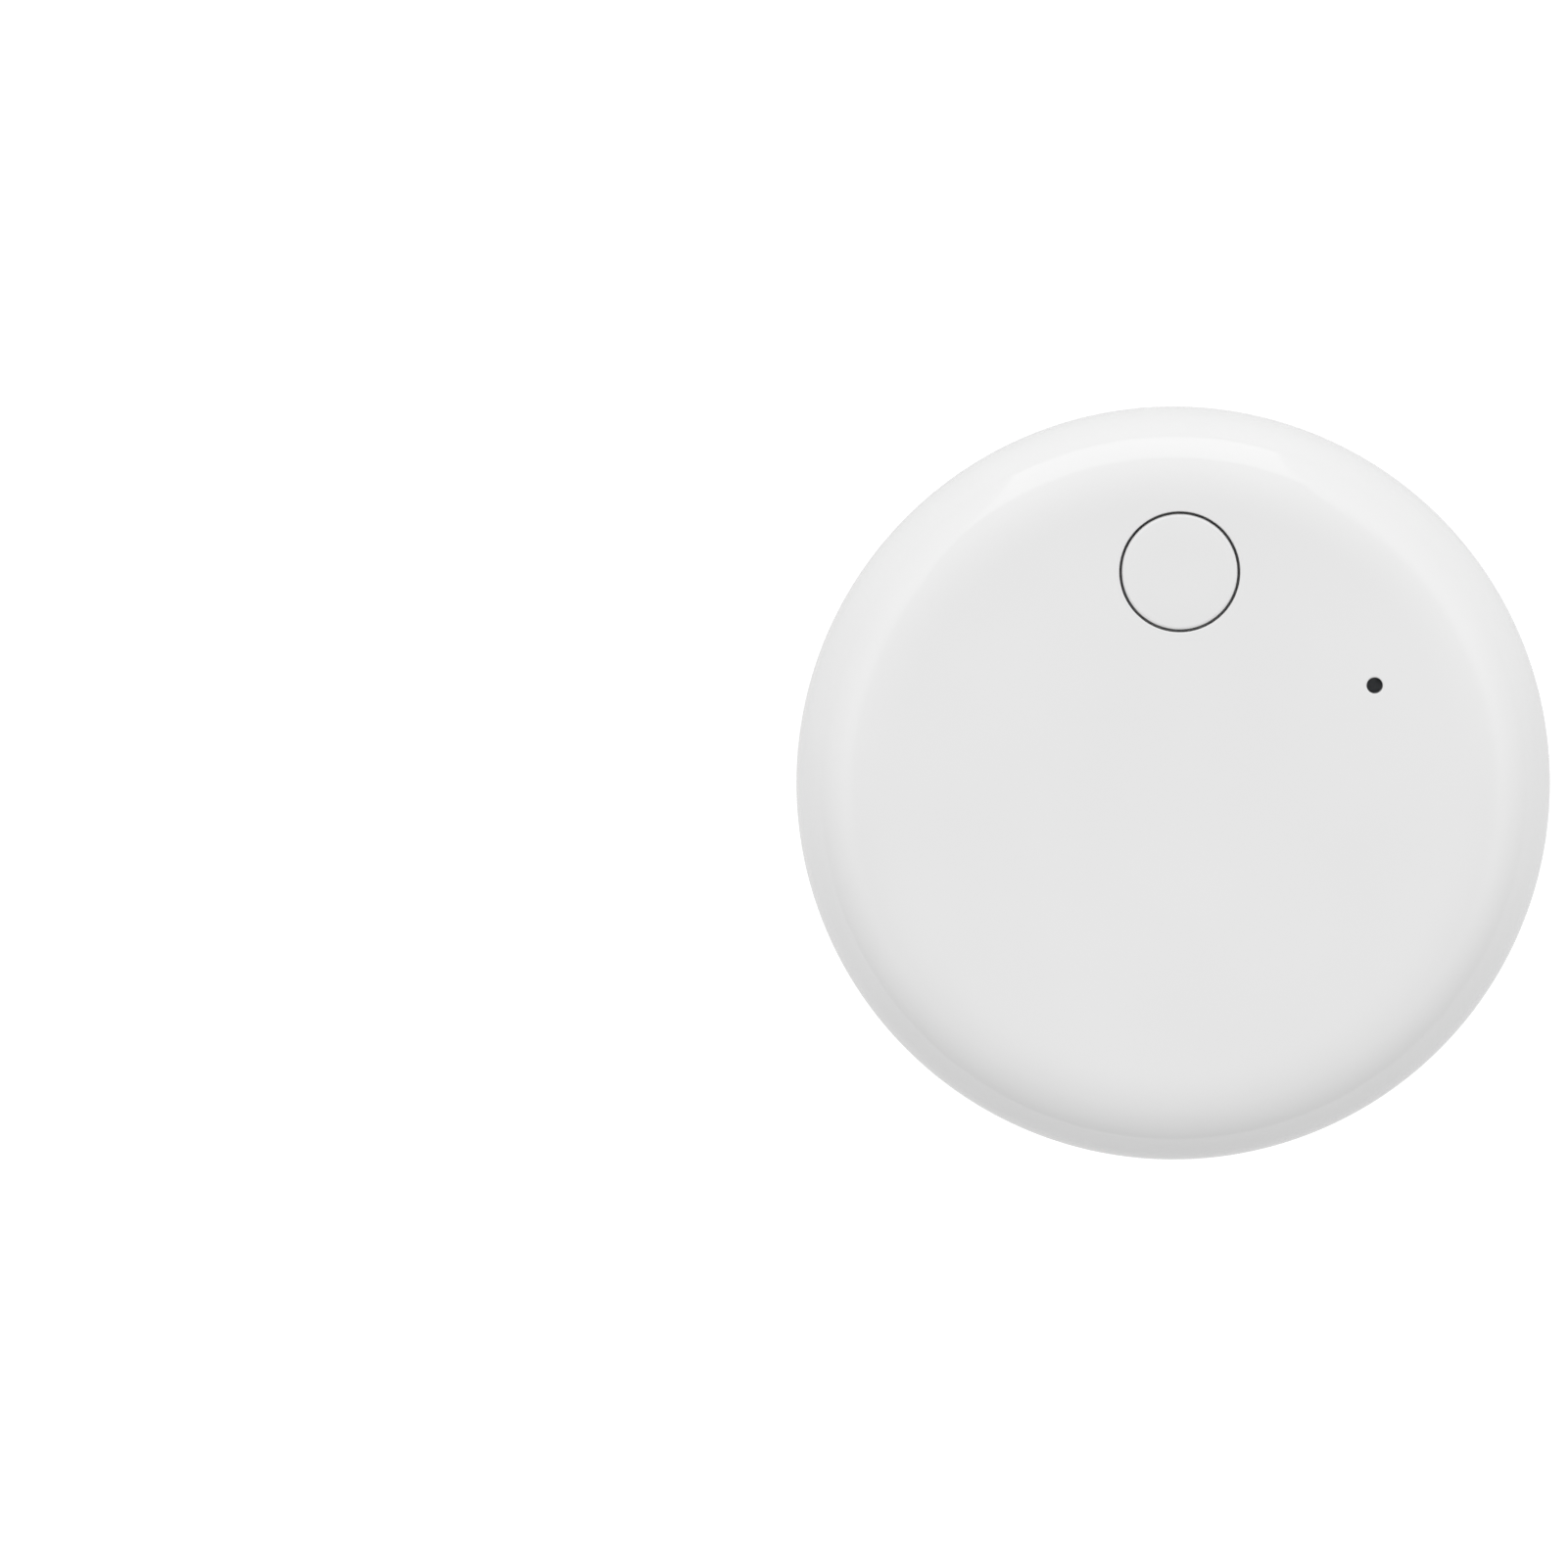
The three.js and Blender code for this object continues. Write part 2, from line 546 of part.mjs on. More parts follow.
function sounderGroup() {
  const group = new THREE.Group();
  const { x, y, radius } = SOUNDER;
  const place = [x, y, 0];
  const glue = ring(SOUNDER.glueInner, radius, SOUNDER.glueBase, SOUNDER.glueTop, SIDES.medium);
  group.add(mesh('sounder_glue_ring', glue, 'gasket', place));
  const plate = disc(radius, SOUNDER.plateBase, SOUNDER.plateTop, SIDES.medium);
  group.add(mesh('sounder_plate', plate, 'brass', place));
  const ceramic = disc(SOUNDER.ceramic, SOUNDER.ceramicBase, SOUNDER.ceramicTop, SIDES.medium);
  group.add(mesh('sounder_ceramic', ceramic, 'ceramic', place));
  const cloth = disc(SOUND_HOLE.mesh, SOUND_HOLE.meshBase, SOUND_HOLE.meshTop, SIDES.small);
  group.add(mesh('sound_hole_mesh', cloth, 'mesh', [...polar(SOUND_HOLE.circle, SOUND_HOLE.angle), 0]));
  group.add(mesh('sounder_lead_red', lead(LEAD_ROUTES.red), 'redLead'));
  group.add(mesh('sounder_lead_black', lead(LEAD_ROUTES.black), 'blackLead'));
  return group;
}

function boardGroup() {
  const group = new THREE.Group();
  group.add(mesh('battery_tray', batteryTray(), 'whiteInner'));
  group.add(mesh('circuit_board', circuitBoard(), 'board'));
  group.add(mesh('negative_contact', negativeContact(), 'nickel'));
  CONTACT.angles.forEach((angle, i) => {
    group.add(mesh(`positive_contact_${i + 1}`, positiveContact(), 'nickel', [0, 0, 0], angle));
  });
  for (const [name, shape, size, [r, angle], turn, look] of [...BOARD_PARTS, ...smallParts()]) {
    group.add(mesh(name, shape(size), look, [...polar(r, angle), BOARD.top + BOND], turn));
  }
  return group;
}

const tag = new THREE.Group();
tag.add(caseGroup(), coverGroup(), cellGroup(), buttonGroup(), sounderGroup(), boardGroup());

export default tag;
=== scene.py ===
"""Shows a round key-finder tag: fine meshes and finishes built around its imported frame.

The tag lies on its battery cover with the button up. Meshes are modelled in millimetres in
the frame's own axes and turned to metres when a piece is finished.
"""

import logging
import math
from collections.abc import Iterable, Sequence
from dataclasses import dataclass, field
from enum import Enum

import bmesh
import bpy
from mathutils import Matrix, Vector


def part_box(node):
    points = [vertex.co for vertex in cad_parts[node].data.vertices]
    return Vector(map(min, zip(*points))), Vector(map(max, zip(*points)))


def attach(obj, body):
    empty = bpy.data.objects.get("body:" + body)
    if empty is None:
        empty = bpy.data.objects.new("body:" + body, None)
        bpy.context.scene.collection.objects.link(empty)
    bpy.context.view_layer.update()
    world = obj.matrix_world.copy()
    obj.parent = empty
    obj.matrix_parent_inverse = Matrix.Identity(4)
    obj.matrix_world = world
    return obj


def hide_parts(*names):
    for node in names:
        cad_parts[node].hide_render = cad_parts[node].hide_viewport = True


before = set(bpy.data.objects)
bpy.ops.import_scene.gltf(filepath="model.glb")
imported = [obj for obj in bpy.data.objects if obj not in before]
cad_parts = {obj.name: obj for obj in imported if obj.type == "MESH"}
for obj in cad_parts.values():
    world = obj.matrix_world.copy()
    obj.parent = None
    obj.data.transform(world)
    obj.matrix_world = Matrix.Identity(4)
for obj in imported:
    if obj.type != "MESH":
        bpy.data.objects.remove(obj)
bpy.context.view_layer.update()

LOG = logging.getLogger("tag")

# One millimetre in metres, the gap between the two shells, and how close points count as one.
MM = 0.001
SEAM = 0.06
MERGE = 1e-4
# Sides of a spin: outer forms, rings and discs, and small holes and pads.
FINE = 256
MEDIUM = 96
SMALL = 40
# Edges across one rounding of a ring and of a disc.
RING_STEPS = 3
DISC_STEPS = 4
# Faces that turn by less than this are one flat; an edge that turns by more than the second
# stays sharp; large faces lead the normals beside them.
FLAT_ANGLE = math.radians(1)
SMOOTH_ANGLE = math.radians(32)
FACE_WEIGHT = 80
# The most of a side that one rounded corner takes, and how far a tool reaches past its piece.
CORNER_SHARE = 0.48
PAST = 1.0
# Radians that a Wave texture's bands turn in one unit.
WAVE_TURN = 20

Point = tuple[float, float]
Place = tuple[float, float, float]


# ---- Sizes read from the frame ----


@dataclass(frozen=True)
class Extent:
    """Where a CAD node lies, in millimetres."""

    low: Vector
    high: Vector

    @classmethod
    def of(cls, node: str) -> "Extent":
        """Reads the extent of one node of the frame.

        Args:
            node: Name of the CAD node.

        Returns:
            Its extent at rest.
        """
        low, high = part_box(node)
        return cls(low / MM, high / MM)

    @property
    def centre(self) -> Vector:
        """Middle of the node's box."""
        return (self.low + self.high) / 2

    @property
    def radius(self) -> float:
        """Half of the node's width along X."""
        return (self.high.x - self.low.x) / 2


# ---- Meshes ----


@dataclass(frozen=True)
class Corner:
    """One corner of an outline, with the radius that rounds it."""

    across: float
    up: float
    radius: float = 0.0


def rounded(corners: Sequence[Corner], closed: bool = True, steps: int = 5) -> list[Point]:
    """Rounds the corners of an outline with arcs.

    Args:
        corners: The outline's corners in order.
        closed: Whether the last corner joins the first.
        steps: How many edges one arc gets.

    Returns:
        The outline's points.
    """
    points: list[Point] = []
    count = len(corners)
    for index, corner in enumerate(corners):
        here = Vector((corner.across, corner.up))
        at_end = not closed and index in (0, count - 1)
        if corner.radius <= 0 or at_end:
            points.append((here.x, here.y))
            continue
        before = corners[index - 1]
        after = corners[(index + 1) % count]
        back = Vector((before.across, before.up)) - here
        ahead = Vector((after.across, after.up)) - here
        half = back.angle(ahead) / 2
        room = CORNER_SHARE * min(back.length, ahead.length)
        reach = min(corner.radius / math.tan(half), room)
        radius = reach * math.tan(half)
        back.normalize()
        ahead.normalize()
        middle = here + (back + ahead).normalized() * (radius / math.sin(half))
        start = here + back * reach - middle
        sweep = start.angle_signed(here + ahead * reach - middle)
        for step in range(steps + 1):
            arm = Matrix.Rotation(-sweep * step / steps, 2) @ start
            points.append((middle.x + arm.x, middle.y + arm.y))
    return points


def spun(profile: Sequence[Point], sides: int = FINE, sweep: float = 360.0,
         start: float = 0.0, closed: bool = True) -> bmesh.types.BMesh:
    """Spins an outline of radius and height about the Z axis.

    Args:
        profile: Points of radius and height.
        sides: How many sides the spin gets.
        sweep: How far it turns, in degrees.
        start: The angle where it starts, in degrees.
        closed: Whether the outline closes on itself instead of on the axis.

    Returns:
        A closed mesh in millimetres.
    """
    made = bmesh.new()
    turn = Matrix.Rotation(math.radians(start), 3, "Z")
    dots = [made.verts.new(turn @ Vector((r, 0, z))) for r, z in profile]
    pairs = list(zip(dots, dots[1:]))
    if closed:
        pairs.append((dots[-1], dots[0]))
    lines = [made.edges.new(pair) for pair in pairs]
    full = sweep >= 360
    bmesh.ops.spin(made, geom=dots + lines, cent=(0, 0, 0), axis=(0, 0, 1), dvec=(0, 0, 0),
                   angle=math.radians(sweep), steps=sides, use_merge=full, use_duplicate=False)
    bmesh.ops.remove_doubles(made, verts=made.verts, dist=MERGE)
    if not full:
        rim = [edge for edge in made.edges if edge.is_boundary]
        bmesh.ops.holes_fill(made, edges=rim, sides=0)
    bmesh.ops.recalc_face_normals(made, faces=made.faces)
    return made


def band(inner: float, outer: float, base: float, top: float, edge: float) -> list[Point]:
    """Outlines the section of a flat ring.

    Args:
        inner: Inner radius in millimetres.
        outer: Outer radius.
        base: Height of its underside.
        top: Height of its top.
        edge: Radius of its edges.

    Returns:
        The outline's points.
    """
    corners = [Corner(inner, base, edge), Corner(outer, base, edge),
               Corner(outer, top, edge), Corner(inner, top, edge)]
    return rounded(corners, steps=RING_STEPS)


def ring(inner: float, outer: float, base: float, top: float, edge: float = 0.0,
         sides: int = MEDIUM) -> bmesh.types.BMesh:
    """Makes a flat ring with rounded edges, all sizes in millimetres."""
    return spun(band(inner, outer, base, top, edge), sides)


def sector(inner: float, outer: float, base: float, top: float, middle: float,
           width: float, edge: float = 0.0) -> bmesh.types.BMesh:
    """Makes part of a ring around a middle angle; width and angle in degrees."""
    sides = max(4, round(width))
    return spun(band(inner, outer, base, top, edge), sides, sweep=width, start=middle - width / 2)


def disc(radius: float, base: float, top: float, edge: float = 0.0,
         sides: int = MEDIUM) -> bmesh.types.BMesh:
    """Makes a flat disc with a rounded rim, all sizes in millimetres."""
    corners = [Corner(0, base), Corner(radius, base, edge), Corner(radius, top, edge), Corner(0, top)]
    return spun(rounded(corners, closed=False, steps=DISC_STEPS), sides, closed=False)


def block(size: Place, centre: Place, edge: float = 0.0) -> bmesh.types.BMesh:
    """Makes a block with rounded edges, in millimetres.

    Args:
        size: Width, depth and height.
        centre: Middle of the block.
        edge: Radius of its edges.

    Returns:
        A closed mesh.
    """
    made = bmesh.new()
    bmesh.ops.create_cube(made, size=1, matrix=Matrix.Translation(centre) @ Matrix.Diagonal((*size, 1)))
    if edge:
        bmesh.ops.bevel(made, geom=made.edges[:], offset=edge, offset_type="OFFSET", segments=3,
                        profile=0.5, affect="EDGES", material=-1)
    return made


def moved(made: bmesh.types.BMesh, place: Iterable[float], turn: float = 0.0) -> bmesh.types.BMesh:
    """Turns a mesh about Z by degrees, then moves it.

    Args:
        made: The mesh, which is changed.
        place: How far it moves, in millimetres.
        turn: How far it turns, in degrees.

    Returns:
        The same mesh.
    """
    matrix = Matrix.Translation(Vector(place)) @ Matrix.Rotation(math.radians(turn), 4, "Z")
    bmesh.ops.transform(made, matrix=matrix, verts=made.verts)
    return made


def polar(radius: float, angle: float, up: float = 0.0) -> Vector:
    """Turns a radius, an angle in degrees and a height into a point."""
    turn = math.radians(angle)
    return Vector((radius * math.cos(turn), radius * math.sin(turn), up))


def as_object(made: bmesh.types.BMesh, name: str) -> bpy.types.Object:
    """Puts a mesh in the scene, still in millimetres, and frees it.

    Args:
        made: The mesh, which is used up.
        name: Name of the new object.

    Returns:
        The new object.
    """
    mesh = bpy.data.meshes.new(name)
    made.to_mesh(mesh)
    made.free()
    shown = bpy.data.objects.new(name, mesh)
    bpy.context.scene.collection.objects.link(shown)
    return shown


class Carve(Enum):
    """How a tool changes the piece that it meets."""

    CUT = "DIFFERENCE"
    JOIN = "UNION"


def carved(target: bpy.types.Object, tool: bmesh.types.BMesh, how: Carve) -> bpy.types.Object:
    """Cuts a tool out of a piece, or joins it on, and keeps only the result.

    Args:
        target: The piece, in millimetres.
        tool: A closed mesh, which is used up.
        how: Whether it cuts or joins.

    Returns:
        The piece.
    """
    helper = as_object(tool, "carving_tool")
    change = target.modifiers.new("carve", "BOOLEAN")
    change.object = helper
    change.operation = how.value
    change.solver = "EXACT"
    graph = bpy.context.evaluated_depsgraph_get()
    result = bpy.data.meshes.new_from_object(target.evaluated_get(graph))
    target.modifiers.clear()
    worn = target.data
    target.data = result
    bpy.data.meshes.remove(worn)
    bpy.data.meshes.remove(helper.data)
    return target


def softened(node: str, edge: float, segments: int = 2) -> bpy.types.Object:
    """Copies a CAD node in millimetres, with its flats whole and its sharp edges rounded.

    Args:
        node: Name of the CAD node.
        edge: Radius of the rounded edges in millimetres.
        segments: Edges across one rounding.

    Returns:
        The new object.
    """
    made = bmesh.new()
    made.from_mesh(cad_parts[node].data)
    bmesh.ops.scale(made, vec=(1 / MM,) * 3, verts=made.verts)
    bmesh.ops.remove_doubles(made, verts=made.verts, dist=MERGE)
    bmesh.ops.dissolve_limit(made, angle_limit=FLAT_ANGLE, use_dissolve_boundaries=False,
                             verts=made.verts, edges=made.edges)
    sharp = [line for line in made.edges
             if len(line.link_faces) == 2 and line.calc_face_angle(0) > SMOOTH_ANGLE]
    bmesh.ops.bevel(made, geom=sharp, offset=edge, offset_type="OFFSET", segments=segments,
                    profile=0.5, affect="EDGES", clamp_overlap=True, material=-1)
    return as_object(made, node)


# ---- Finishes ----


def linear(code: str) -> tuple[float, float, float, float]:
    """Turns an sRGB hex colour into linear light with full alpha.

    Args:
        code: The colour, such as #E5E5E5.

    Returns:
        Red, green, blue and alpha.
    """
    parts = [int(code[place:place + 2], 16) / 255 for place in (1, 3, 5)]
    light = [part / 12.92 if part <= 0.04045 else ((part + 0.055) / 1.055) ** 2.4 for part in parts]
    return (*light, 1.0)


def add_node(tree: bpy.types.NodeTree, kind: str, inputs: dict | None = None,
             **settings: object) -> bpy.types.Node:
    """Adds a node with its settings, its values and its links.

    Args:
        tree: The node tree.
        kind: The node's type name.
        inputs: Values, or sockets to link from, by input name or number.
        **settings: Properties of the node.

    Returns:
        The node.
    """
    node = tree.nodes.new(kind)
    for name, value in settings.items():
        setattr(node, name, value)
    for name, value in (inputs or {}).items():
        if isinstance(value, bpy.types.NodeSocket):
            tree.links.new(value, node.inputs[name])
        else:
            node.inputs[name].default_value = value
    return node


def per_metre(size_mm: float) -> float:
    """Turns the size of a pattern's repeat into a texture scale."""
    return 1 / (size_mm * MM)


def bands_per_metre(size_mm: float) -> float:
    """Turns the repeat of a band pattern into a Wave texture's scale."""
    return per_metre(size_mm) * 2 * math.pi / WAVE_TURN


@dataclass(frozen=True)
class Finish:
    """A material of the tag: what it is, and the slot of the record it belongs to."""

    name: str
    slot: str
    color: str
    roughness: float

    def material(self) -> bpy.types.Material:
        """Makes the Blender material the first time it is asked for.

        Returns:
            The material.
        """
        known = bpy.data.materials.get(self.name)
        if known:
            return known
        made = bpy.data.materials.new(self.name)
        made.use_nodes = True
        tree = made.node_tree
        tree.nodes.clear()
        shader = add_node(tree, "ShaderNodeBsdfPrincipled", {
            "Base Color": linear(self.color), "Roughness": self.roughness})
        add_node(tree, "ShaderNodeOutputMaterial", {"Surface": shader.outputs["BSDF"]})
        place = add_node(tree, "ShaderNodeTexCoord").outputs["Object"]
        self.dress(tree, shader, place)
        return made

    def dress(self, tree: bpy.types.NodeTree, shader: bpy.types.Node,
              place: bpy.types.NodeSocket) -> None:
        """Adds what the eye sees of this material to the plain shader."""
        raise NotImplementedError

    def tint(self, tree: bpy.types.NodeTree, amount: bpy.types.NodeSocket, shade: str,
             shader: bpy.types.Node) -> None:
        """Blends the base colour towards a second shade by a pattern."""
        mixed = add_node(tree, "ShaderNodeMix", {
            0: amount, 6: linear(self.color), 7: linear(shade)}, data_type="RGBA")
        tree.links.new(mixed.outputs[2], shader.inputs["Base Color"])


def remapped(tree: bpy.types.NodeTree, value: bpy.types.NodeSocket,
             low: float, high: float) -> bpy.types.NodeSocket:
    """Stretches the middle of a noise to a range and returns the new socket."""
    node = add_node(tree, "ShaderNodeMapRange", {
        "Value": value, "From Min": 0.3, "From Max": 0.7, "To Min": low, "To Max": high})
    return node.outputs["Result"]


@dataclass(frozen=True)
class MouldedPlastic(Finish):
    """Injection-moulded plastic: a faint orange peel, and gloss that wanders a little."""

    shade: str = "#E2E2E2"
    peel_mm: float = 1.4
    peel_depth_mm: float = 0.0008
    cloud_mm: float = 9.0
    gloss_play: float = 0.03
    ior: float = 1.54

    def dress(self, tree: bpy.types.NodeTree, shader: bpy.types.Node,
              place: bpy.types.NodeSocket) -> None:
        """Adds the orange peel, the gloss play and the faint clouding of the pigment.

        Args:
            tree: The material's node tree.
            shader: The shader that the patterns feed.
            place: Where on the piece a point lies, in metres.
        """
        shader.inputs["IOR"].default_value = self.ior
        cloud = add_node(tree, "ShaderNodeTexNoise", {
            "Vector": place, "Scale": per_metre(self.cloud_mm), "Detail": 3.0})
        self.tint(tree, remapped(tree, cloud.outputs["Fac"], 0, 1), self.shade, shader)
        low, high = self.roughness - self.gloss_play, self.roughness + self.gloss_play
        tree.links.new(remapped(tree, cloud.outputs["Fac"], low, high), shader.inputs["Roughness"])
        peel = add_node(tree, "ShaderNodeTexNoise", {
            "Vector": place, "Scale": per_metre(self.peel_mm), "Detail": 1.0})
        bump = add_node(tree, "ShaderNodeBump", {
            "Strength": 1.0, "Distance": self.peel_depth_mm * MM, "Height": peel.outputs["Fac"]})
        tree.links.new(bump.outputs["Normal"], shader.inputs["Normal"])


class Grain(Enum):
    """Which way the fine lines of a metal run."""

    STRAIGHT = "straight"
    CIRCLES = "circles"


@dataclass(frozen=True)
class WorkedMetal(Finish):
    """Rolled, pressed or turned metal: fine lines along its grain and dull handling marks."""

    grain: Grain = Grain.STRAIGHT
    grain_mm: float = 0.08
    depth_mm: float = 0.0006
    centre_mm: Point = (0.0, 0.0)
    dull: str = "#8E8F90"
    dull_mm: float = 2.5
    dull_share: float = 0.5
    stretch: float = 0.03
    gloss_span: Point = (0.75, 1.3)

    def dress(self, tree: bpy.types.NodeTree, shader: bpy.types.Node,
              place: bpy.types.NodeSocket) -> None:
        """Adds the grain lines as bump and roughness, and darker handling marks.

        Args:
            tree: The material's node tree.
            shader: The shader that the patterns feed.
            place: Where on the piece a point lies, in metres.
        """
        shader.inputs["Metallic"].default_value = 1.0
        if self.grain is Grain.CIRCLES:
            offset = (-self.centre_mm[0] * MM, -self.centre_mm[1] * MM, 0)
            local = add_node(tree, "ShaderNodeMapping", {"Vector": place, "Location": offset})
            flat = add_node(tree, "ShaderNodeVectorMath", {
                0: local.outputs["Vector"], 1: (1, 1, 0)}, operation="MULTIPLY")
            reach = add_node(tree, "ShaderNodeVectorMath", {0: flat.outputs["Vector"]},
                             operation="LENGTH")
            lines = add_node(tree, "ShaderNodeTexNoise", {
                "W": reach.outputs["Value"], "Scale": per_metre(self.grain_mm), "Detail": 2.0},
                noise_dimensions="1D")
        else:
            stretched = add_node(tree, "ShaderNodeMapping", {"Vector": place, "Scale": (self.stretch, 1, 1)})
            lines = add_node(tree, "ShaderNodeTexNoise", {
                "Vector": stretched.outputs["Vector"], "Scale": per_metre(self.grain_mm),
                "Detail": 2.0})
        low, high = (share * self.roughness for share in self.gloss_span)
        tree.links.new(remapped(tree, lines.outputs["Fac"], low, high), shader.inputs["Roughness"])
        bump = add_node(tree, "ShaderNodeBump", {
            "Strength": 1.0, "Distance": self.depth_mm * MM, "Height": lines.outputs["Fac"]})
        tree.links.new(bump.outputs["Normal"], shader.inputs["Normal"])
        marks = add_node(tree, "ShaderNodeTexNoise", {
            "Vector": place, "Scale": per_metre(self.dull_mm), "Detail": 4.0})
        self.tint(tree, remapped(tree, marks.outputs["Fac"], 0, self.dull_share), self.dull, shader)


@dataclass(frozen=True)
class Elastomer(Finish):
    """Moulded rubber: soft, with a grey bloom and a fine matt texture."""

    bloom: str = "#5A5A5C"
    bloom_mm: float = 3.0
    bloom_share: float = 0.6
    texture_mm: float = 0.12
    texture_depth_mm: float = 0.003
    ior: float = 1.43

    def dress(self, tree: bpy.types.NodeTree, shader: bpy.types.Node,
              place: bpy.types.NodeSocket) -> None:
        """Adds the bloom and the matt texture.

        Args:
            tree: The material's node tree.
            shader: The shader that the patterns feed.
            place: Where on the piece a point lies, in metres.
        """
        shader.inputs["IOR"].default_value = self.ior
        bloom = add_node(tree, "ShaderNodeTexNoise", {
            "Vector": place, "Scale": per_metre(self.bloom_mm), "Detail": 5.0})
        amount = remapped(tree, bloom.outputs["Fac"], 0, self.bloom_share)
        self.tint(tree, amount, self.bloom, shader)
        texture = add_node(tree, "ShaderNodeTexNoise", {
            "Vector": place, "Scale": per_metre(self.texture_mm), "Detail": 2.0})
        bump = add_node(tree, "ShaderNodeBump", {
            "Strength": 0.6, "Distance": self.texture_depth_mm * MM, "Height": texture.outputs["Fac"]})
        tree.links.new(bump.outputs["Normal"], shader.inputs["Normal"])


@dataclass(frozen=True)
class FiredCeramic(Finish):
    """Fired ceramic: fine grains that sparkle a little between light and dark."""

    speck: str = "#8C8C8C"
    grain_mm: float = 0.15
    grain_depth_mm: float = 0.004

    def dress(self, tree: bpy.types.NodeTree, shader: bpy.types.Node,
              place: bpy.types.NodeSocket) -> None:
        """Adds the grains as colour and relief.

        Args:
            tree: The material's node tree.
            shader: The shader that the patterns feed.
            place: Where on the piece a point lies, in metres.
        """
        grains = add_node(tree, "ShaderNodeTexVoronoi", {
            "Vector": place, "Scale": per_metre(self.grain_mm)})
        self.tint(tree, grains.outputs["Distance"], self.speck, shader)
        bump = add_node(tree, "ShaderNodeBump", {
            "Strength": 0.5, "Distance": self.grain_depth_mm * MM,
            "Height": grains.outputs["Distance"]})
        tree.links.new(bump.outputs["Normal"], shader.inputs["Normal"])


@dataclass(frozen=True)
class SolderMask(Finish):
    """Lacquered glass laminate: runs of copper tracks and filled fields show through the lacquer."""

    copper: str = "#1F6042"
    field_mm: float = 3.2
    track_mm: float = 0.6
    filled_share: float = 0.4
    track_edge: Point = (0.45, 0.6)
    copper_depth_mm: float = 0.02
    ior: float = 1.5
    coat: float = 0.4
    coat_roughness: float = 0.12

    def dress(self, tree: bpy.types.NodeTree, shader: bpy.types.Node,
              place: bpy.types.NodeSocket) -> None:
        """Adds fields of copper: some hold tracks along X or along Y, the others are filled.

        Args:
            tree: The material's node tree.
            shader: The shader that the patterns feed.
            place: Where on the piece a point lies, in metres.
        """
        shader.inputs["IOR"].default_value = self.ior
        shader.inputs["Coat Weight"].default_value = self.coat
        shader.inputs["Coat Roughness"].default_value = self.coat_roughness
        cells = add_node(tree, "ShaderNodeTexVoronoi", {
            "Vector": place, "Scale": per_metre(self.field_mm), "Randomness": 0.8},
            feature="F1", distance="CHEBYCHEV")
        kinds = add_node(tree, "ShaderNodeSeparateColor", {0: cells.outputs["Color"]})
        along_y = add_node(tree, "ShaderNodeMath", {0: kinds.outputs["Red"], 1: 0.5},
                           operation="GREATER_THAN")
        filled = add_node(tree, "ShaderNodeMath", {0: kinds.outputs["Green"], 1: self.filled_share},
                          operation="LESS_THAN")
        runs = [add_node(tree, "ShaderNodeTexWave", {
            "Vector": place, "Scale": bands_per_metre(self.track_mm)}, wave_type="BANDS",
            bands_direction=axis) for axis in ("X", "Y")]
        tracks = add_node(tree, "ShaderNodeMix", {
            0: along_y.outputs["Value"], 2: runs[0].outputs["Fac"], 3: runs[1].outputs["Fac"]},
            data_type="FLOAT")
        edges = add_node(tree, "ShaderNodeMapRange", {
            "Value": tracks.outputs[0], "From Min": self.track_edge[0],
            "From Max": self.track_edge[1]})
        copper = add_node(tree, "ShaderNodeMath", {
            0: edges.outputs["Result"], 1: filled.outputs["Value"]}, operation="MAXIMUM")
        self.tint(tree, copper.outputs["Value"], self.copper, shader)
        bump = add_node(tree, "ShaderNodeBump", {
            "Strength": 0.4, "Distance": self.copper_depth_mm * MM,
            "Height": copper.outputs["Value"]})
        tree.links.new(bump.outputs["Normal"], shader.inputs["Normal"])


@dataclass(frozen=True)
class WovenMesh(Finish):
    """Fine woven filter cloth: crossing threads, with the pores between them painted near-black as shade,
    drawn coarser than real ones.
    """

    # Near-black of the pores: painted shade of the dark inside seen through the open weave.
    pore_painted_shade: str = "#08090A"
    thread_mm: float = 0.754
    thread_depth_mm: float = 0.02

    def dress(self, tree: bpy.types.NodeTree, shader: bpy.types.Node,
              place: bpy.types.NodeSocket) -> None:
        """Adds threads along X and along Y, with painted shade in the pores where neither runs.

        Args:
            tree: The material's node tree.
            shader: The shader that the patterns feed.
            place: Where on the piece a point lies, in metres.
        """
        waves = [add_node(tree, "ShaderNodeTexWave", {
            "Vector": place, "Scale": bands_per_metre(self.thread_mm)}, wave_type="BANDS",
            bands_direction=axis) for axis in ("X", "Y")]
        threads = add_node(tree, "ShaderNodeMath", {
            0: waves[0].outputs["Fac"], 1: waves[1].outputs["Fac"]}, operation="MULTIPLY")
        # Blends towards the near-black painted shade of the pores by the thread pattern.
        self.tint(tree, threads.outputs["Value"], self.pore_painted_shade, shader)
        bump = add_node(tree, "ShaderNodeBump", {
            "Strength": 0.8, "Distance": self.thread_depth_mm * MM, "Height": threads.outputs["Value"],
        }, invert=True)
        tree.links.new(bump.outputs["Normal"], shader.inputs["Normal"])


# ABS from a polished mould: bright and neutral, sharp soft-box reflections, almost no texture.
GLOSS_ABS = MouldedPlastic("gloss_white_abs", "white_gloss_abs", "#E5E5E5", 0.045, shade="#E3E3E3",
                           peel_depth_mm=0.001, gloss_play=0.015)
# The same resin from a blasted mould: dull, so that the well looks softer than the outside.
MATT_ABS = MouldedPlastic("matt_white_abs", "inner_moulding", "#D5D5D2", 0.48, shade="#CBCBC8",
                          peel_mm=0.25, peel_depth_mm=0.004)
# Silicone of the seal and the bumper: dark grey and soft.
SILICONE = Elastomer("moulded_silicone", "seal_silicone", "#3A3A3D", 0.55)
# Die-cut foam adhesive under the sounder: almost black and quite dull.
GLUE = Elastomer("die_cut_adhesive", "glue_ring", "#2A2A2B", 0.7, bloom="#3C3C3D")
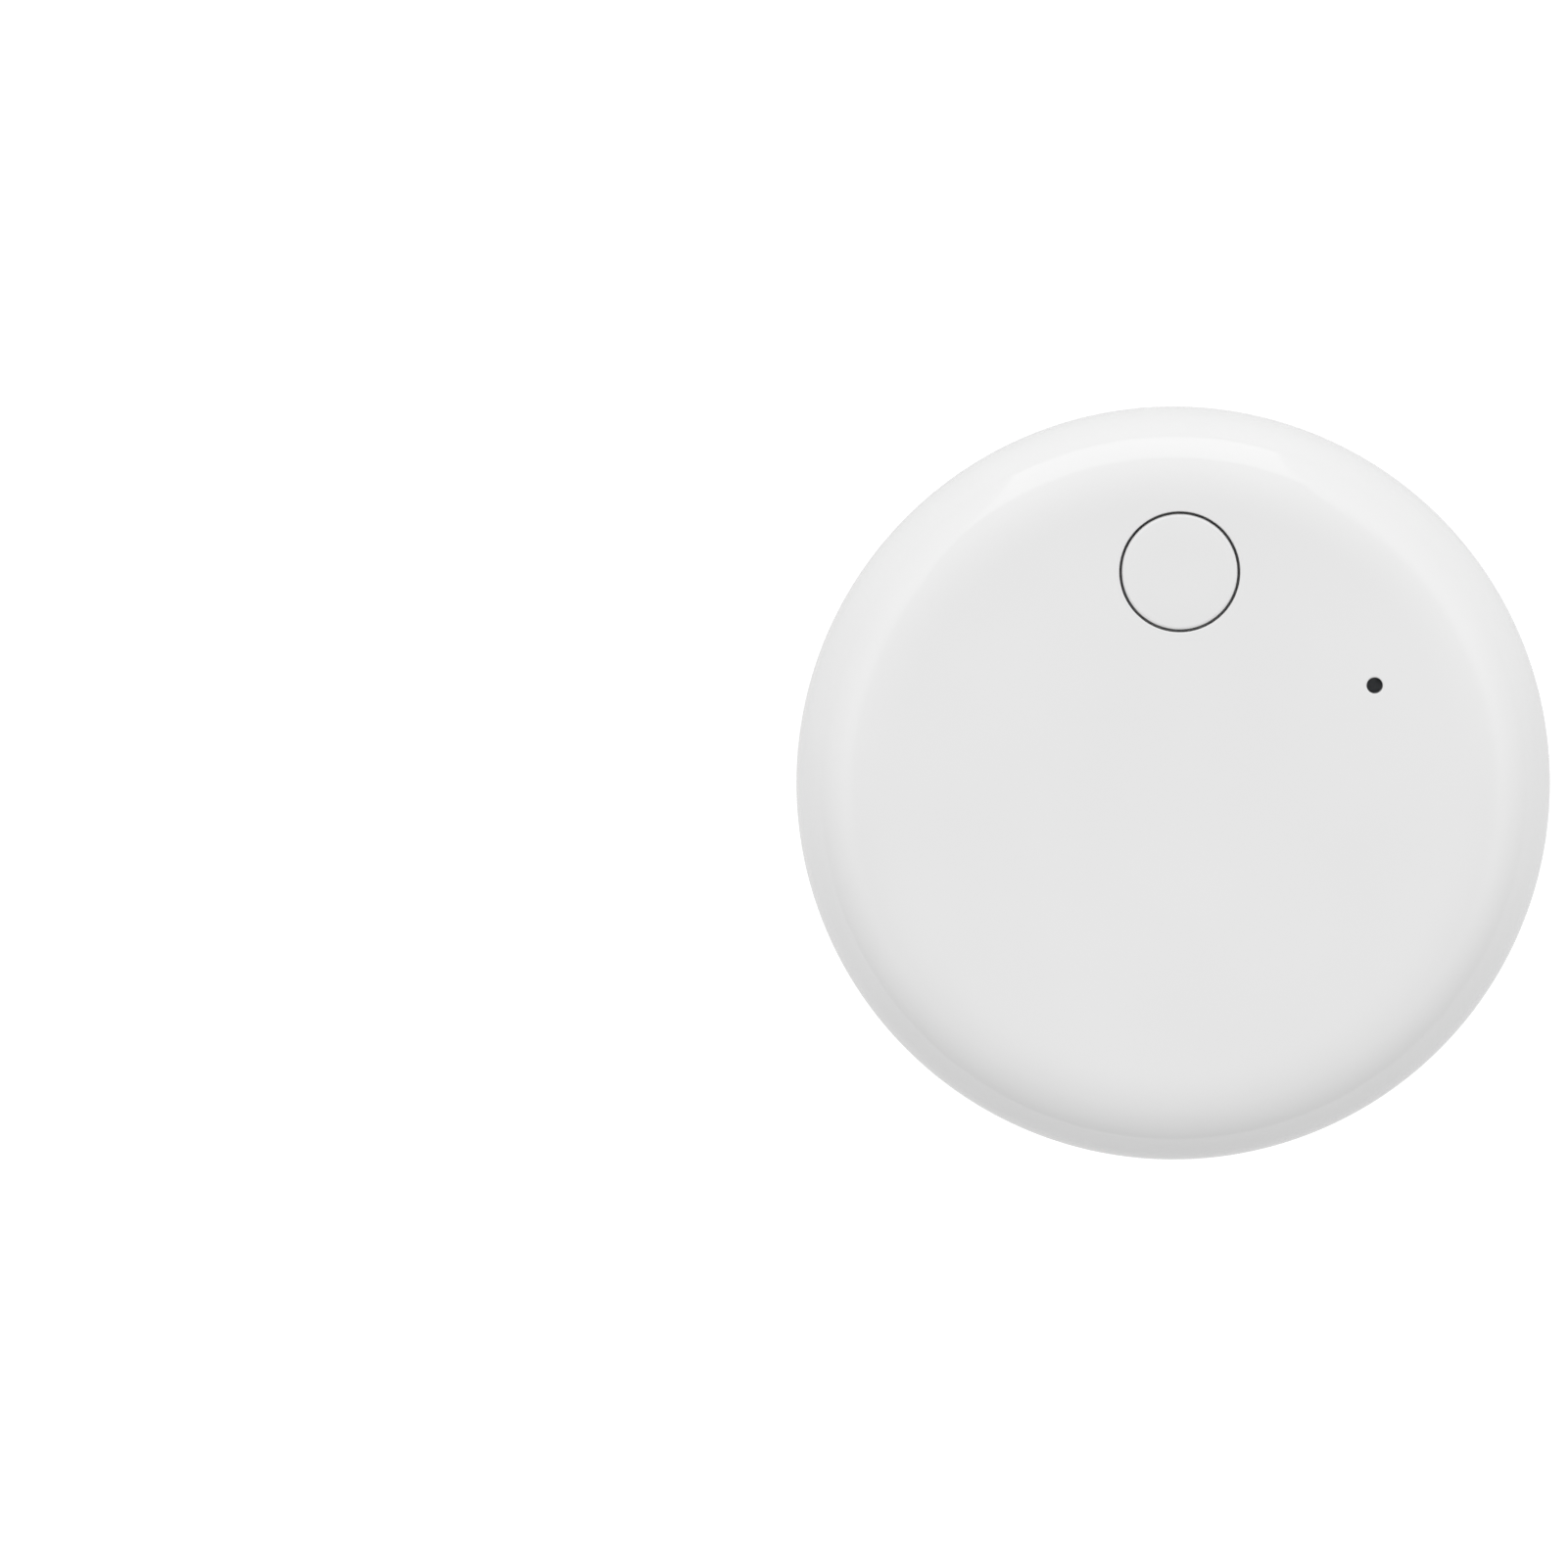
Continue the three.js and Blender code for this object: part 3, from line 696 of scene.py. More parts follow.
# Nickel-plated steel of the cell: pressed, then turned bright in circles.
CELL_STEEL = WorkedMetal("nickel_plated_steel", "cell_steel", "#C6C7C6", 0.26, grain=Grain.CIRCLES,
                         grain_mm=0.11, dull="#A2A3A2")
# Bare turned steel of the screws: a little darker, with dark grey marks.
SCREW_STEEL = WorkedMetal("plain_steel", "screw_steel", "#A9AAAC", 0.32, dull="#77787A")
# Plated lid of a crystal: pale and slightly warm.
CRYSTAL_LID = WorkedMetal("plated_lid", "crystal_can", "#C7C4BA", 0.3, dull="#9A978D")
# Spring bronze under nickel: a warm grey with rolling lines.
SPRING_BRONZE = WorkedMetal("nickel_plated_bronze", "contact_spring", "#CFC7B2", 0.3, dull="#A0977F")
# Rolled brass of the sounder's plate: yellow, polished in circles about its own middle.
ROLLED_BRASS = WorkedMetal("rolled_brass", "sounder_brass", "#CDA75A", 0.28, grain=Grain.CIRCLES,
                           grain_mm=0.2, centre_mm=(2.2, -1.4), dull="#9C7B38")
# Solder on the ends of the small parts: bright but soft-edged.
TIN = WorkedMetal("solder_tin", "capacitor_ceramic", "#C9CACB", 0.35, dull="#9B9C9D")
# Flash of gold on the board's pads: warm and even.
GOLD_PAD = WorkedMetal("gold_flash", "board_laminate", "#D9B767", 0.3, dull="#B08F45")
# Moulded nylon of the cell's gasket: black, with a low sheen.
NYLON = MouldedPlastic("moulded_nylon", "cell_gasket_nylon", "#2B2B2D", 0.45, shade="#1F1F21",
                       peel_mm=0.3, peel_depth_mm=0.003, ior=1.53)
# Epoxy moulded round chips and the switch: charcoal, with a fine dull grain.
EPOXY = MouldedPlastic("epoxy_moulding", "black_moulding", "#222224", 0.5, shade="#2C2C2E",
                       peel_mm=0.1, peel_depth_mm=0.004)
# Silver fired on the sounder's ceramic: a warm white, finely speckled.
SILVERED = FiredCeramic("silvered_ceramic", "piezo_ceramic", "#D8D2C4", 0.42, speck="#BDB6A6")
# Fired alumina of the antenna: nearly white and dull.
ANTENNA_CERAMIC = FiredCeramic("alumina_ceramic", "antenna_ceramic", "#E1DFD6", 0.5, speck="#CFCDC3")
# Fired titanate of the capacitors: tan, with darker grains.
CAPACITOR_BODY = FiredCeramic("titanate_ceramic", "capacitor_ceramic", "#A07E58", 0.5, speck="#8C6C49")
# Green lacquer over laminate: deep green, lighter where copper lies under it.
LACQUER = SolderMask("solder_mask_laminate", "board_laminate", "#154A31", 0.35)
# Woven filter cloth under the sound hole: grey threads, and black painted shade in the pores.
CLOTH = WovenMesh("woven_filter_cloth", "sound_mesh", "#55585B", 0.7)
# Drawn PVC of the sounder's leads: red and black, with a soft sheen.
RED_PVC = MouldedPlastic("red_lead_pvc", "lead_red", "#A9271F", 0.4, shade="#982019", peel_mm=0.4,
                         peel_depth_mm=0.003)
BLACK_PVC = MouldedPlastic("black_lead_pvc", "lead_black", "#1C1C1D", 0.4, shade="#242425",
                           peel_mm=0.4, peel_depth_mm=0.003)


def finished(shown: bpy.types.Object, finish: Finish, body: str, replaces: Sequence[str] = (),
             sharp: float = SMOOTH_ANGLE) -> bpy.types.Object:
    """Turns a piece to metres, shades and dresses it, and rides it on its body.

    Args:
        shown: The piece in millimetres.
        finish: Its finish; more finishes may be in its slots already.
        body: The CAD body that it moves with.
        replaces: CAD nodes that it stands for.
        sharp: The angle in radians above which an edge stays sharp.

    Returns:
        The finished piece.
    """
    mesh = shown.data
    mesh.transform(Matrix.Scale(MM, 4))
    mesh.shade_smooth()
    mesh.set_sharp_from_angle(angle=sharp)
    if mesh.materials:
        mesh.materials[0] = finish.material()
    else:
        mesh.materials.append(finish.material())
    normals = shown.modifiers.new("even_normals", "WEIGHTED_NORMAL")
    normals.keep_sharp = True
    normals.weight = FACE_WEIGHT
    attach(shown, body)
    if replaces:
        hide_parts(*replaces)
    LOG.info("%s: %d faces, %s", shown.name, len(mesh.polygons), finish.name)
    return shown


# ---- Case ----


@dataclass(frozen=True)
class Outline:
    """The outer form of the tag: two superelliptic shoulders that meet at the rim."""

    radius: float = Extent.of("front_shell").radius
    height: float = Extent.of("front_shell").high.z
    rim: float = Extent.of("front_shell").low.z - SEAM / 2
    crown: float = 0.1
    front_shoulder: float = 4.2
    front_power: float = 2.6
    back_shoulder: float = 3.0
    back_depth: float = 3.35
    back_power: float = 2.3
    seam_room: float = 0.03
    steps: int = 44
    face_rings: int = 10

    def _quarter(self, exponent: float) -> list[Point]:
        """Points on a quarter superellipse, from the rim to the flat.

        Args:
            exponent: Its power: 2 is a circle, and more is squarer.

        Returns:
            Pairs of shares across and up, between 0 and 1.
        """
        angles = [math.pi / 2 * step / self.steps for step in range(self.steps + 1)]
        power = 2 / exponent
        return [(max(0.0, math.cos(angle)) ** power, math.sin(angle) ** power) for angle in angles]

    def front(self) -> list[Point]:
        """Outlines the front surface.

        Returns:
            Points from the rim to the middle of the face.
        """
        rise = self.height - self.rim - self.crown
        curve = []
        for across, up in self._quarter(self.front_power):
            r = self.radius - self.front_shoulder * (1 - across)
            drop = self.crown * (r / self.radius) ** 2
            curve.append((r, self.rim + self.crown + rise * up - drop))
        face = self.radius - self.front_shoulder
        rings = [face * step / self.face_rings for step in reversed(range(self.face_rings))]
        return curve + [(r, self.height - self.crown * (r / self.radius) ** 2) for r in rings]

    def back_height(self, r: float) -> float:
        """Height of the back surface outside the cover's pad, at a radius."""
        across = (r - (self.radius - self.back_shoulder)) / self.back_shoulder
        return self.rim - self.back_depth * (1 - across ** self.back_power) ** (1 / self.back_power)

    def back(self, start: float) -> list[Point]:
        """Outlines the back surface.

        Args:
            start: The radius of the cover's seam, where it starts.

        Returns:
            Points from the seam to the rim.
        """
        quarter = reversed(self._quarter(self.back_power))
        radii = [self.radius - self.back_shoulder * (1 - across) for across, _ in quarter]
        inner, outer = start + self.seam_room, self.radius - MERGE
        return [(r, self.back_height(r)) for r in radii if inner < r < outer]


OUTLINE = Outline()


@dataclass
class CaseShells:
    """Front shell and rear housing, the two halves that the screws hold together."""

    edge: float = 0.1
    lip_edge: float = 0.06
    fine_edge: float = 0.05
    spigot_edge: float = 0.12
    # Front shell: its inside, the step that takes the housing's spigot, and the screw bosses.
    inside: float = 7.0
    face_radius: float = 12.9
    cavity: float = 14.5
    lip_radius: float = 15.25
    lip_top: float = 4.7
    rim_points: int = 3
    inner_steps: int = 10
    front_sharp: float = math.radians(12)
    boss_radius: float = 1.2
    boss_base: float = 5.86
    boss_sunk: float = 0.2
    boss_hole: float = 0.65
    boss_hole_heights: Point = (5.0, 6.85)
    # Rear housing: its spigot, the ledge of the screws and the cover's bayonet track.
    spigot: Point = (14.55, 15.15)
    spigot_top: float = 4.6
    ledge_radius: float = 10.85
    ledge: Point = (3.4, 4.2)
    seat: float = 14.04
    flange: float = 13.55
    bore: float = 13.5
    flange_heights: Point = (1.1, 1.65)
    track_top: float = 2.42
    gate_width: float = 30.0
    gate_room: float = 0.001
    stop_width: float = 4.0
    twist: float = 28.0
    overlap: float = 0.05
    shank: tuple[float, float, float] = (0.8, 3.0, 5.0)
    head: tuple[float, float, float] = (1.0, 3.0, 3.8)
    # Holes of the front face: the flare of their edges, and the cone that the drill ends in.
    hole_edge: float = 0.07
    flare: float = math.radians(75)
    flare_steps: int = 10
    cone: Point = (1.0, 0.27)
    sound_hole: float = 0.34
    sound_circle: float = 9.575
    sound_angle: float = 29.0
    button_hole: float = 2.56
    screws: list[Vector] = field(default_factory=lambda: [
        Extent.of(f"case_screw_{number}").centre for number in (1, 2, 3)])

    def _drill(self, radius: float, place: Vector) -> bmesh.types.BMesh:
        """Makes a drill that leaves a rounded edge where it meets the front face.

        Args:
            radius: Radius of the hole.
            place: A point on its axis.

        Returns:
            The drill, leaning with the crown of the face.
        """
        reach = math.hypot(place.x, place.y)
        surface = OUTLINE.height - OUTLINE.crown * (reach / OUTLINE.radius) ** 2
        arc = [self.flare * step / self.flare_steps for step in range(self.flare_steps + 1)]
        flare = [(radius + self.hole_edge * (1 - math.cos(angle)),
                  surface - self.hole_edge * (math.sin(self.flare) - math.sin(angle)))
                 for angle in arc]
        tip, end = self.inside - PAST, flare[-1][1] + self.cone[1]
        profile = [(0, tip), (radius, tip), *flare, (flare[-1][0] + self.cone[0], end), (0, end)]
        drill = spun(profile, MEDIUM, closed=False)
        lean = 2 * OUTLINE.crown * reach / OUTLINE.radius ** 2
        axis = Vector((-place.y, place.x, 0)).normalized()
        about = Matrix.Translation((0, 0, surface))
        turn = about @ Matrix.Rotation(lean, 4, axis) @ about.inverted()
        bmesh.ops.transform(drill, matrix=turn, verts=drill.verts)
        return moved(drill, (place.x, place.y, 0))

    def _front(self) -> bpy.types.Object:
        """Builds the front shell with its bosses, button hole and sound hole.

        Returns:
            The finished shell.
        """
        bottom = OUTLINE.rim + SEAM / 2
        # The rounded edge of the rim takes the place of the outer surface's first points.
        outer = OUTLINE.front()[self.rim_points:]
        inner = [Corner(0, self.inside),
                 Corner(self.cavity, self.inside, self.cavity - self.face_radius),
                 Corner(self.cavity, self.lip_top, self.edge),
                 Corner(self.lip_radius, self.lip_top, self.fine_edge),
                 Corner(self.lip_radius, bottom, self.edge),
                 Corner(OUTLINE.radius, bottom, self.edge), Corner(*outer[0])]
        profile = rounded(inner, closed=False, steps=self.inner_steps)[:-1] + outer
        shell = as_object(spun(profile, closed=False), "front_shell_fine")
        for screw in self.screws:
            place = (screw.x, screw.y, 0)
            boss = disc(self.boss_radius, self.boss_base, self.inside + self.boss_sunk, sides=SMALL)
            carved(shell, moved(boss, place), Carve.JOIN)
            hole = disc(self.boss_hole, *self.boss_hole_heights, sides=SMALL)
            carved(shell, moved(hole, place), Carve.CUT)
        sound = polar(self.sound_circle, self.sound_angle)
        carved(shell, self._drill(self.button_hole, Extent.of("button_cap").centre), Carve.CUT)
        carved(shell, self._drill(self.sound_hole, sound), Carve.CUT)
        return finished(shell, GLOSS_ABS, "case", ["front_shell"], sharp=self.front_sharp)

    def _rear(self) -> bpy.types.Object:
        """Builds the rear housing with the bayonet track and the screw ledge.

        Returns:
            The finished housing.
        """
        outer = OUTLINE.back(self.seat)
        top = OUTLINE.rim - SEAM / 2
        spigot_in, spigot_out = self.spigot
        ledge_base, ledge_top = self.ledge
        flange_base, flange_top = self.flange_heights
        inside = [
            Corner(*outer[-1]), Corner(OUTLINE.radius, top, self.edge),
            Corner(spigot_out, top, self.fine_edge),
            Corner(spigot_out, self.spigot_top, self.spigot_edge),
            Corner(spigot_in, self.spigot_top, self.spigot_edge),
            Corner(spigot_in, ledge_top, self.fine_edge),
            Corner(self.ledge_radius, ledge_top, self.edge),
            Corner(self.ledge_radius, ledge_base, self.edge),
            Corner(self.bore, ledge_base, self.fine_edge),
            Corner(self.bore, self.track_top, self.lip_edge),
            Corner(self.seat, self.track_top, self.fine_edge),
            Corner(self.seat, flange_top, self.fine_edge),
            Corner(self.flange, flange_top, self.lip_edge),
            Corner(self.flange, flange_base, self.lip_edge),
            Corner(self.seat, flange_base, self.fine_edge),
            Corner(self.seat, OUTLINE.back_height(self.seat), self.lip_edge), Corner(*outer[0])]
        profile = rounded(inside, closed=False)[1:-1] + outer
        housing = as_object(spun(profile), "rear_housing_fine")
        for middle in BatteryCover.lug_angles():
            gate = sector(self.flange - PAST, self.seat - self.gate_room, flange_base - self.overlap,
                          flange_top + self.overlap, middle, self.gate_width)
            carved(housing, gate, Carve.CUT)
            first = middle - self.gate_width / 2
            for side in (first, first + self.gate_width + self.twist):
                stop = sector(self.bore, self.seat + self.edge, flange_top - self.overlap,
                              self.track_top + self.overlap, side, self.stop_width)
                carved(housing, stop, Carve.JOIN)
        for screw in self.screws:
            for hole in (self.shank, self.head):
                drill = moved(disc(*hole, sides=SMALL), (screw.x, screw.y, 0))
                carved(housing, drill, Carve.CUT)
        return finished(housing, GLOSS_ABS, "case", ["rear_housing"])

    def build(self) -> list[bpy.types.Object]:
        """Builds both shells."""
        return [self._front(), self._rear()]


# ---- Battery cover ----


@dataclass
class BatteryCover:
    """The twist-off cover with its seal and the bumper that presses on the cell."""

    pad: float = 13.08
    pad_edge: float = 0.15
    foot: float = 13.31
    foot_edge: float = 0.03
    slope_steps: int = 6
    edge: float = Extent.of("battery_cover").radius
    rim_edge: float = 0.08
    lip_edge: float = 0.06
    fine_edge: float = 0.05
    top_edge: float = 0.1
    floor: float = 1.0
    floor_edge: float = 0.25
    # Skirt: its walls, the seal's groove between two heights, and the land above the groove.
    skirt_in: float = 12.3
    skirt_out: float = 13.45
    groove: float = 12.8
    groove_heights: Point = (2.42, 3.08)
    land: float = 13.35
    skirt_top: float = 3.3
    # Lugs: their heights and width, and how deep they sit in the skirt.
    lugs: int = 3
    first_lug: float = 30.0
    lug_heights: Point = (1.72, 2.3)
    lug_width: float = 24.0
    lug_sunk: float = 0.2
    seal_points: int = 24
    # Groove of the bumper: how far in from its rim it starts and ends, and its depth.
    rim_groove: Point = (1.2, 0.7)
    rim_groove_depth: float = 0.1

    @classmethod
    def lug_angles(cls) -> list[float]:
        """Returns the middle angle of each lug in degrees."""
        return [cls.first_lug + 360 / cls.lugs * number for number in range(cls.lugs)]

    def _cover(self) -> bpy.types.Object:
        """Builds the cover plate with its pad, skirt, groove and lugs.

        Returns:
            The finished cover.
        """
        run = (self.edge - self.rim_edge - self.foot) / self.slope_steps
        slope = [self.foot + run * step for step in range(1, self.slope_steps + 1)]
        groove_base, groove_top = self.groove_heights
        corners = [
            Corner(0, 0), Corner(self.pad + self.pad_edge, 0, self.pad_edge),
            Corner(self.foot, OUTLINE.back_height(self.foot), self.foot_edge),
            *(Corner(r, OUTLINE.back_height(r)) for r in slope),
            Corner(self.edge, OUTLINE.back_height(self.edge), self.lip_edge),
            Corner(self.edge, self.floor, self.rim_edge),
            Corner(self.skirt_out, self.floor, self.fine_edge),
            Corner(self.skirt_out, groove_base, self.lip_edge),
            Corner(self.groove, groove_base, self.lip_edge),
            Corner(self.groove, groove_top, self.lip_edge),
            Corner(self.land, groove_top, self.fine_edge),
            Corner(self.land, self.skirt_top, self.top_edge),
            Corner(self.skirt_in, self.skirt_top, self.top_edge),
            Corner(self.skirt_in, self.floor, self.floor_edge), Corner(0, self.floor)]
        profile = rounded(corners, closed=False)
        cover = as_object(spun(profile, closed=False), "battery_cover_fine")
        for middle in self.lug_angles():
            lug = sector(self.skirt_out - self.lug_sunk, self.edge, *self.lug_heights, middle,
                         self.lug_width, self.lip_edge)
            carved(cover, lug, Carve.JOIN)
        return finished(cover, GLOSS_ABS, "cover", ["battery_cover"])

    def _seal(self) -> bpy.types.Object:
        """Builds the O-ring.

        Returns:
            The finished seal.
        """
        seal = Extent.of("cover_seal")
        section = (seal.high.z - seal.low.z) / 2
        middle = seal.radius - section
        turns = [2 * math.pi * step / self.seal_points for step in range(self.seal_points)]
        profile = [(middle + section * math.cos(turn), seal.centre.z + section * math.sin(turn))
                   for turn in turns]
        made = as_object(spun(profile), "cover_seal_fine")
        return finished(made, SILICONE, "seal", ["cover_seal"])

    def _bumper(self) -> bpy.types.Object:
        """Builds the bumper disc with a shallow groove inside its rim.

        Returns:
            The finished bumper.
        """
        bumper = Extent.of("cell_bumper")
        plate = disc(bumper.radius, bumper.low.z, bumper.high.z, self.top_edge)
        made = as_object(plate, "cell_bumper_fine")
        inner, outer = (bumper.radius - inset for inset in self.rim_groove)
        groove = ring(inner, outer, bumper.high.z - self.rim_groove_depth, bumper.high.z + PAST,
                      self.fine_edge)
        carved(made, groove, Carve.CUT)
        return finished(made, SILICONE, "cover", ["cell_bumper"])

    def build(self) -> list[bpy.types.Object]:
        """Builds the cover, its seal and its bumper."""
        return [self._cover(), self._seal(), self._bumper()]


# ---- Coin cell ----


@dataclass
class CoinCell:
    """A 20 mm coin cell: cup, gasket and cap."""

    edge: float = 0.1
    fine_edge: float = 0.05
    step_edge: float = 0.15
    press_edge: float = 0.04
    gasket_edge: float = 0.02
    # Cup: its sheet, the crimp's rounding and the lip that the crimp ends in.
    wall: float = 0.28
    crimp: float = 0.4
    crimp_drop: float = 0.05
    lip: float = 9.5
    lip_edge: float = 0.3
    mouth: float = 9.35
    mouth_heights: Point = (0.12, 0.2)
    # Cap: how far in its step and its pressed ring lie, and how far down.
    step_in: float = 0.5
    step_drops: Point = (0.64, 0.44)
    crown_edge: float = 0.14
    pressed: Point = (1.3, 1.8)
    pressed_slope: float = 0.1
    pressed_drop: float = 0.04
    plus_length: float = 3.2
    plus_width: float = 0.7
    plus_depth: float = 0.06

    def _can(self) -> bpy.types.Object:
        """Builds the cup with its crimped lip and a plus sign pressed in its flat face.

        Returns:
            The finished cup.
        """
        can = Extent.of("cell_can")
        r, base, top = can.radius, can.low.z, can.high.z
        inner = r - self.wall
        outside, inside = (top - drop for drop in self.mouth_heights)
        corners = [
            Corner(0, base), Corner(r, base, self.wall), Corner(r, top - self.crimp_drop, self.crimp),
            Corner(self.lip, top, self.lip_edge), Corner(self.mouth, outside, self.press_edge),
            Corner(self.mouth, inside), Corner(inner, top - self.crimp, self.fine_edge),
            Corner(inner, base + self.wall, self.edge), Corner(0, base + self.wall)]
        profile = rounded(corners, closed=False)
        made = as_object(spun(profile, closed=False), "cell_can_fine")
        for size in ((self.plus_length, self.plus_width), (self.plus_width, self.plus_length)):
            bar = block((*size, 2 * self.plus_depth), (0, 0, base), self.press_edge)
            carved(made, bar, Carve.CUT)
        return finished(made, CELL_STEEL, "coin_cell", ["cell_can"])

    def _cap(self) -> bpy.types.Object:
        """Builds the cap with its stepped rim and the shallow ring pressed in its flat.

        Returns:
            The finished cap.
        """
        cap = Extent.of("cell_cap")
        base, top, r = cap.low.z, cap.high.z, cap.radius
        step = r - self.step_in
        outer, inner = (r - inset for inset in self.pressed)
        floor = top - self.pressed_drop
        corners = [
            Corner(0, base), Corner(r, base, self.edge),
            Corner(r, top - self.step_drops[0], self.step_edge),
            Corner(step, top - self.step_drops[1], self.edge), Corner(step, top, self.crown_edge),
            Corner(outer, top, self.edge), Corner(outer - self.pressed_slope, floor, self.edge),
            Corner(inner + self.pressed_slope, floor, self.edge), Corner(inner, top, self.edge),
            Corner(0, top)]
        profile = rounded(corners, closed=False)
        made = as_object(spun(profile, closed=False), "cell_cap_fine")
        return finished(made, CELL_STEEL, "coin_cell", ["cell_cap"])

    def _gasket(self) -> bpy.types.Object:
        """Builds the gasket as a softened copy of its CAD solid.

        Returns:
            The finished gasket.
        """
        made = softened("cell_gasket", self.gasket_edge)
        made.name = "cell_gasket_fine"
        return finished(made, NYLON, "coin_cell", ["cell_gasket"])

    def build(self) -> list[bpy.types.Object]:
        """Builds the cell's three parts."""
        return [self._can(), self._cap(), self._gasket()]


# ---- Button ----


@dataclass
class Button:
    """Button cap with its switch."""

    cap_radius: float = 2.45
    flange: float = 0.23
    dish: float = 0.012
    dish_middle: float = 0.003
    edge: float = 0.13
    foot_edge: float = 0.08
    fine_edge: float = 0.05
    steps: int = 8

    def build(self) -> list[bpy.types.Object]:
        """Builds the cap, the plunger and the switch body.

        Returns:
            The finished pieces.
        """
        cap = Extent.of("button_cap")
        flange_top = cap.low.z + self.flange
        top = cap.high.z
        corners = [
            Corner(0, cap.low.z), Corner(cap.radius, cap.low.z, self.fine_edge),
            Corner(cap.radius, flange_top, self.fine_edge),
            Corner(self.cap_radius, flange_top, self.foot_edge),
            Corner(self.cap_radius, top - self.dish, self.edge),
            Corner(self.cap_radius / 2, top - self.dish_middle), Corner(0, top)]
        profile = rounded(corners, closed=False, steps=self.steps)
        knob = moved(spun(profile, MEDIUM, closed=False), (cap.centre.x, cap.centre.y, 0))
        made = as_object(knob, "button_cap_fine")
        pieces = [finished(made, GLOSS_ABS, "button", ["button_cap"])]
        for node, body in (("switch_plunger", "button"), ("switch_body", "case")):
            copy = softened(node, self.fine_edge)
            copy.name = f"{node}_fine"
            pieces.append(finished(copy, EPOXY, body, [node]))
        return pieces


# ---- Inner parts ----


@dataclass(frozen=True)
class Lie:
    """How a part lies on the board: its middle, its size along its own sides and its turn."""

    centre: Vector
    size: Place
    turn: float

    @classmethod
    def of(cls, node: str) -> "Lie":
        """Fits the smallest upright box around a CAD node, its longest side first.

        Args:
            node: Name of the CAD node.

        Returns:
            Where the box lies, in millimetres and degrees.
        """
        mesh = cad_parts[node].data
        spots = [vertex.co.to_2d() / MM for vertex in mesh.vertices]
        runs = [spots[line.vertices[1]] - spots[line.vertices[0]] for line in mesh.edges]
        fits = []
        for run in (run for run in runs if run.length > MERGE):
            along = run.normalized()
            across = Vector((-along.y, along.x))
            spans = [[spot.dot(axis) for spot in spots] for axis in (along, across)]
            length, width = (max(span) - min(span) for span in spans)
            middle = [(max(span) + min(span)) / 2 for span in spans]
            if length >= width:
                fits.append((length * width, length, width, along * middle[0] + across * middle[1],
                             math.degrees(math.atan2(along.y, along.x))))
        _, length, width, middle, turn = min(fits, key=lambda fit: fit[0])
        height = Extent.of(node)
        size = (length, width, height.high.z - height.low.z)
        return cls(Vector((*middle, height.centre.z)), size, turn)


def joined(parts: Sequence[tuple[bmesh.types.BMesh, int]]) -> bmesh.types.BMesh:
    """Puts meshes together in one.

    Args:
        parts: Meshes, which are used up, each with the number of its material slot.

    Returns:
        The whole mesh.
    """
    whole = bmesh.new()
    for part, slot in parts:
        for face in part.faces:
            face.material_index = slot
        mesh = bpy.data.meshes.new("part")
        part.to_mesh(mesh)
        part.free()
        whole.from_mesh(mesh)
        bpy.data.meshes.remove(mesh)
    return whole


def two_ended(node: str, edge: float, share: float = 0.22) -> bpy.types.Object:
    """Builds a part with a bare middle and two plated ends that stand slightly proud.

    Args:
        node: Name of the CAD node that it stands for.
        edge: Radius of its edges in millimetres.
        share: How much of its length each end takes.

    Returns:
        The part, with its ends in the tin finish.
    """
    lie = Lie.of(node)
    length, width, height = lie.size
    cap = share * length
    parts = [(block((length - cap, width - 2 * edge, height - 2 * edge), (0, 0, 0)), 0)]
    for side in (-1, 1):
        parts.append((block((cap, width, height), (side * (length - cap) / 2, 0, 0), edge), 1))
    made = as_object(moved(joined(parts), lie.centre, lie.turn), node)
    made.data.materials.append(None)
    made.data.materials.append(TIN.material())
    return made


@dataclass
class Board:
    """The circuit board, with gold pads on the side that faces the cell."""

    edge: float = 0.04
    pad_height: float = 0.012
    pad_inner: float = 0.84
    pad_outer: float = 1.25
    land: tuple[float, float] = (2.3, 3.1)
    land_places: tuple[tuple[float, float], ...] = ((4.0, 180.0), (11.2, 60.0), (11.2, 300.0))

    def build(self) -> list[bpy.types.Object]:
        """Builds the board with a pad around each screw and under each spring's foot.

        Returns:
            The finished board.
        """
        under = Extent.of("circuit_board").low.z
        face = under - self.pad_height
        pads = []
        for number in (1, 2, 3):
            screw = Extent.of(f"case_screw_{number}").centre
            pad = ring(self.pad_inner, self.pad_outer, face, under, sides=SMALL)
            pads.append(moved(pad, (screw.x, screw.y, 0)))
        for radius, angle in self.land_places:
            land = block((*self.land, self.pad_height), (0, 0, (face + under) / 2))
            pads.append(moved(land, polar(radius, angle), angle))
        board = softened("circuit_board", self.edge)
        laminate = bmesh.new()
        laminate.from_mesh(board.data)
        bpy.data.meshes.remove(board.data)
        whole = as_object(joined([(laminate, 0), *((pad, 1) for pad in pads)]), "circuit_board_fine")
        whole.data.materials.append(None)
        whole.data.materials.append(GOLD_PAD.material())
        return [finished(whole, LACQUER, "case", ["circuit_board"])]


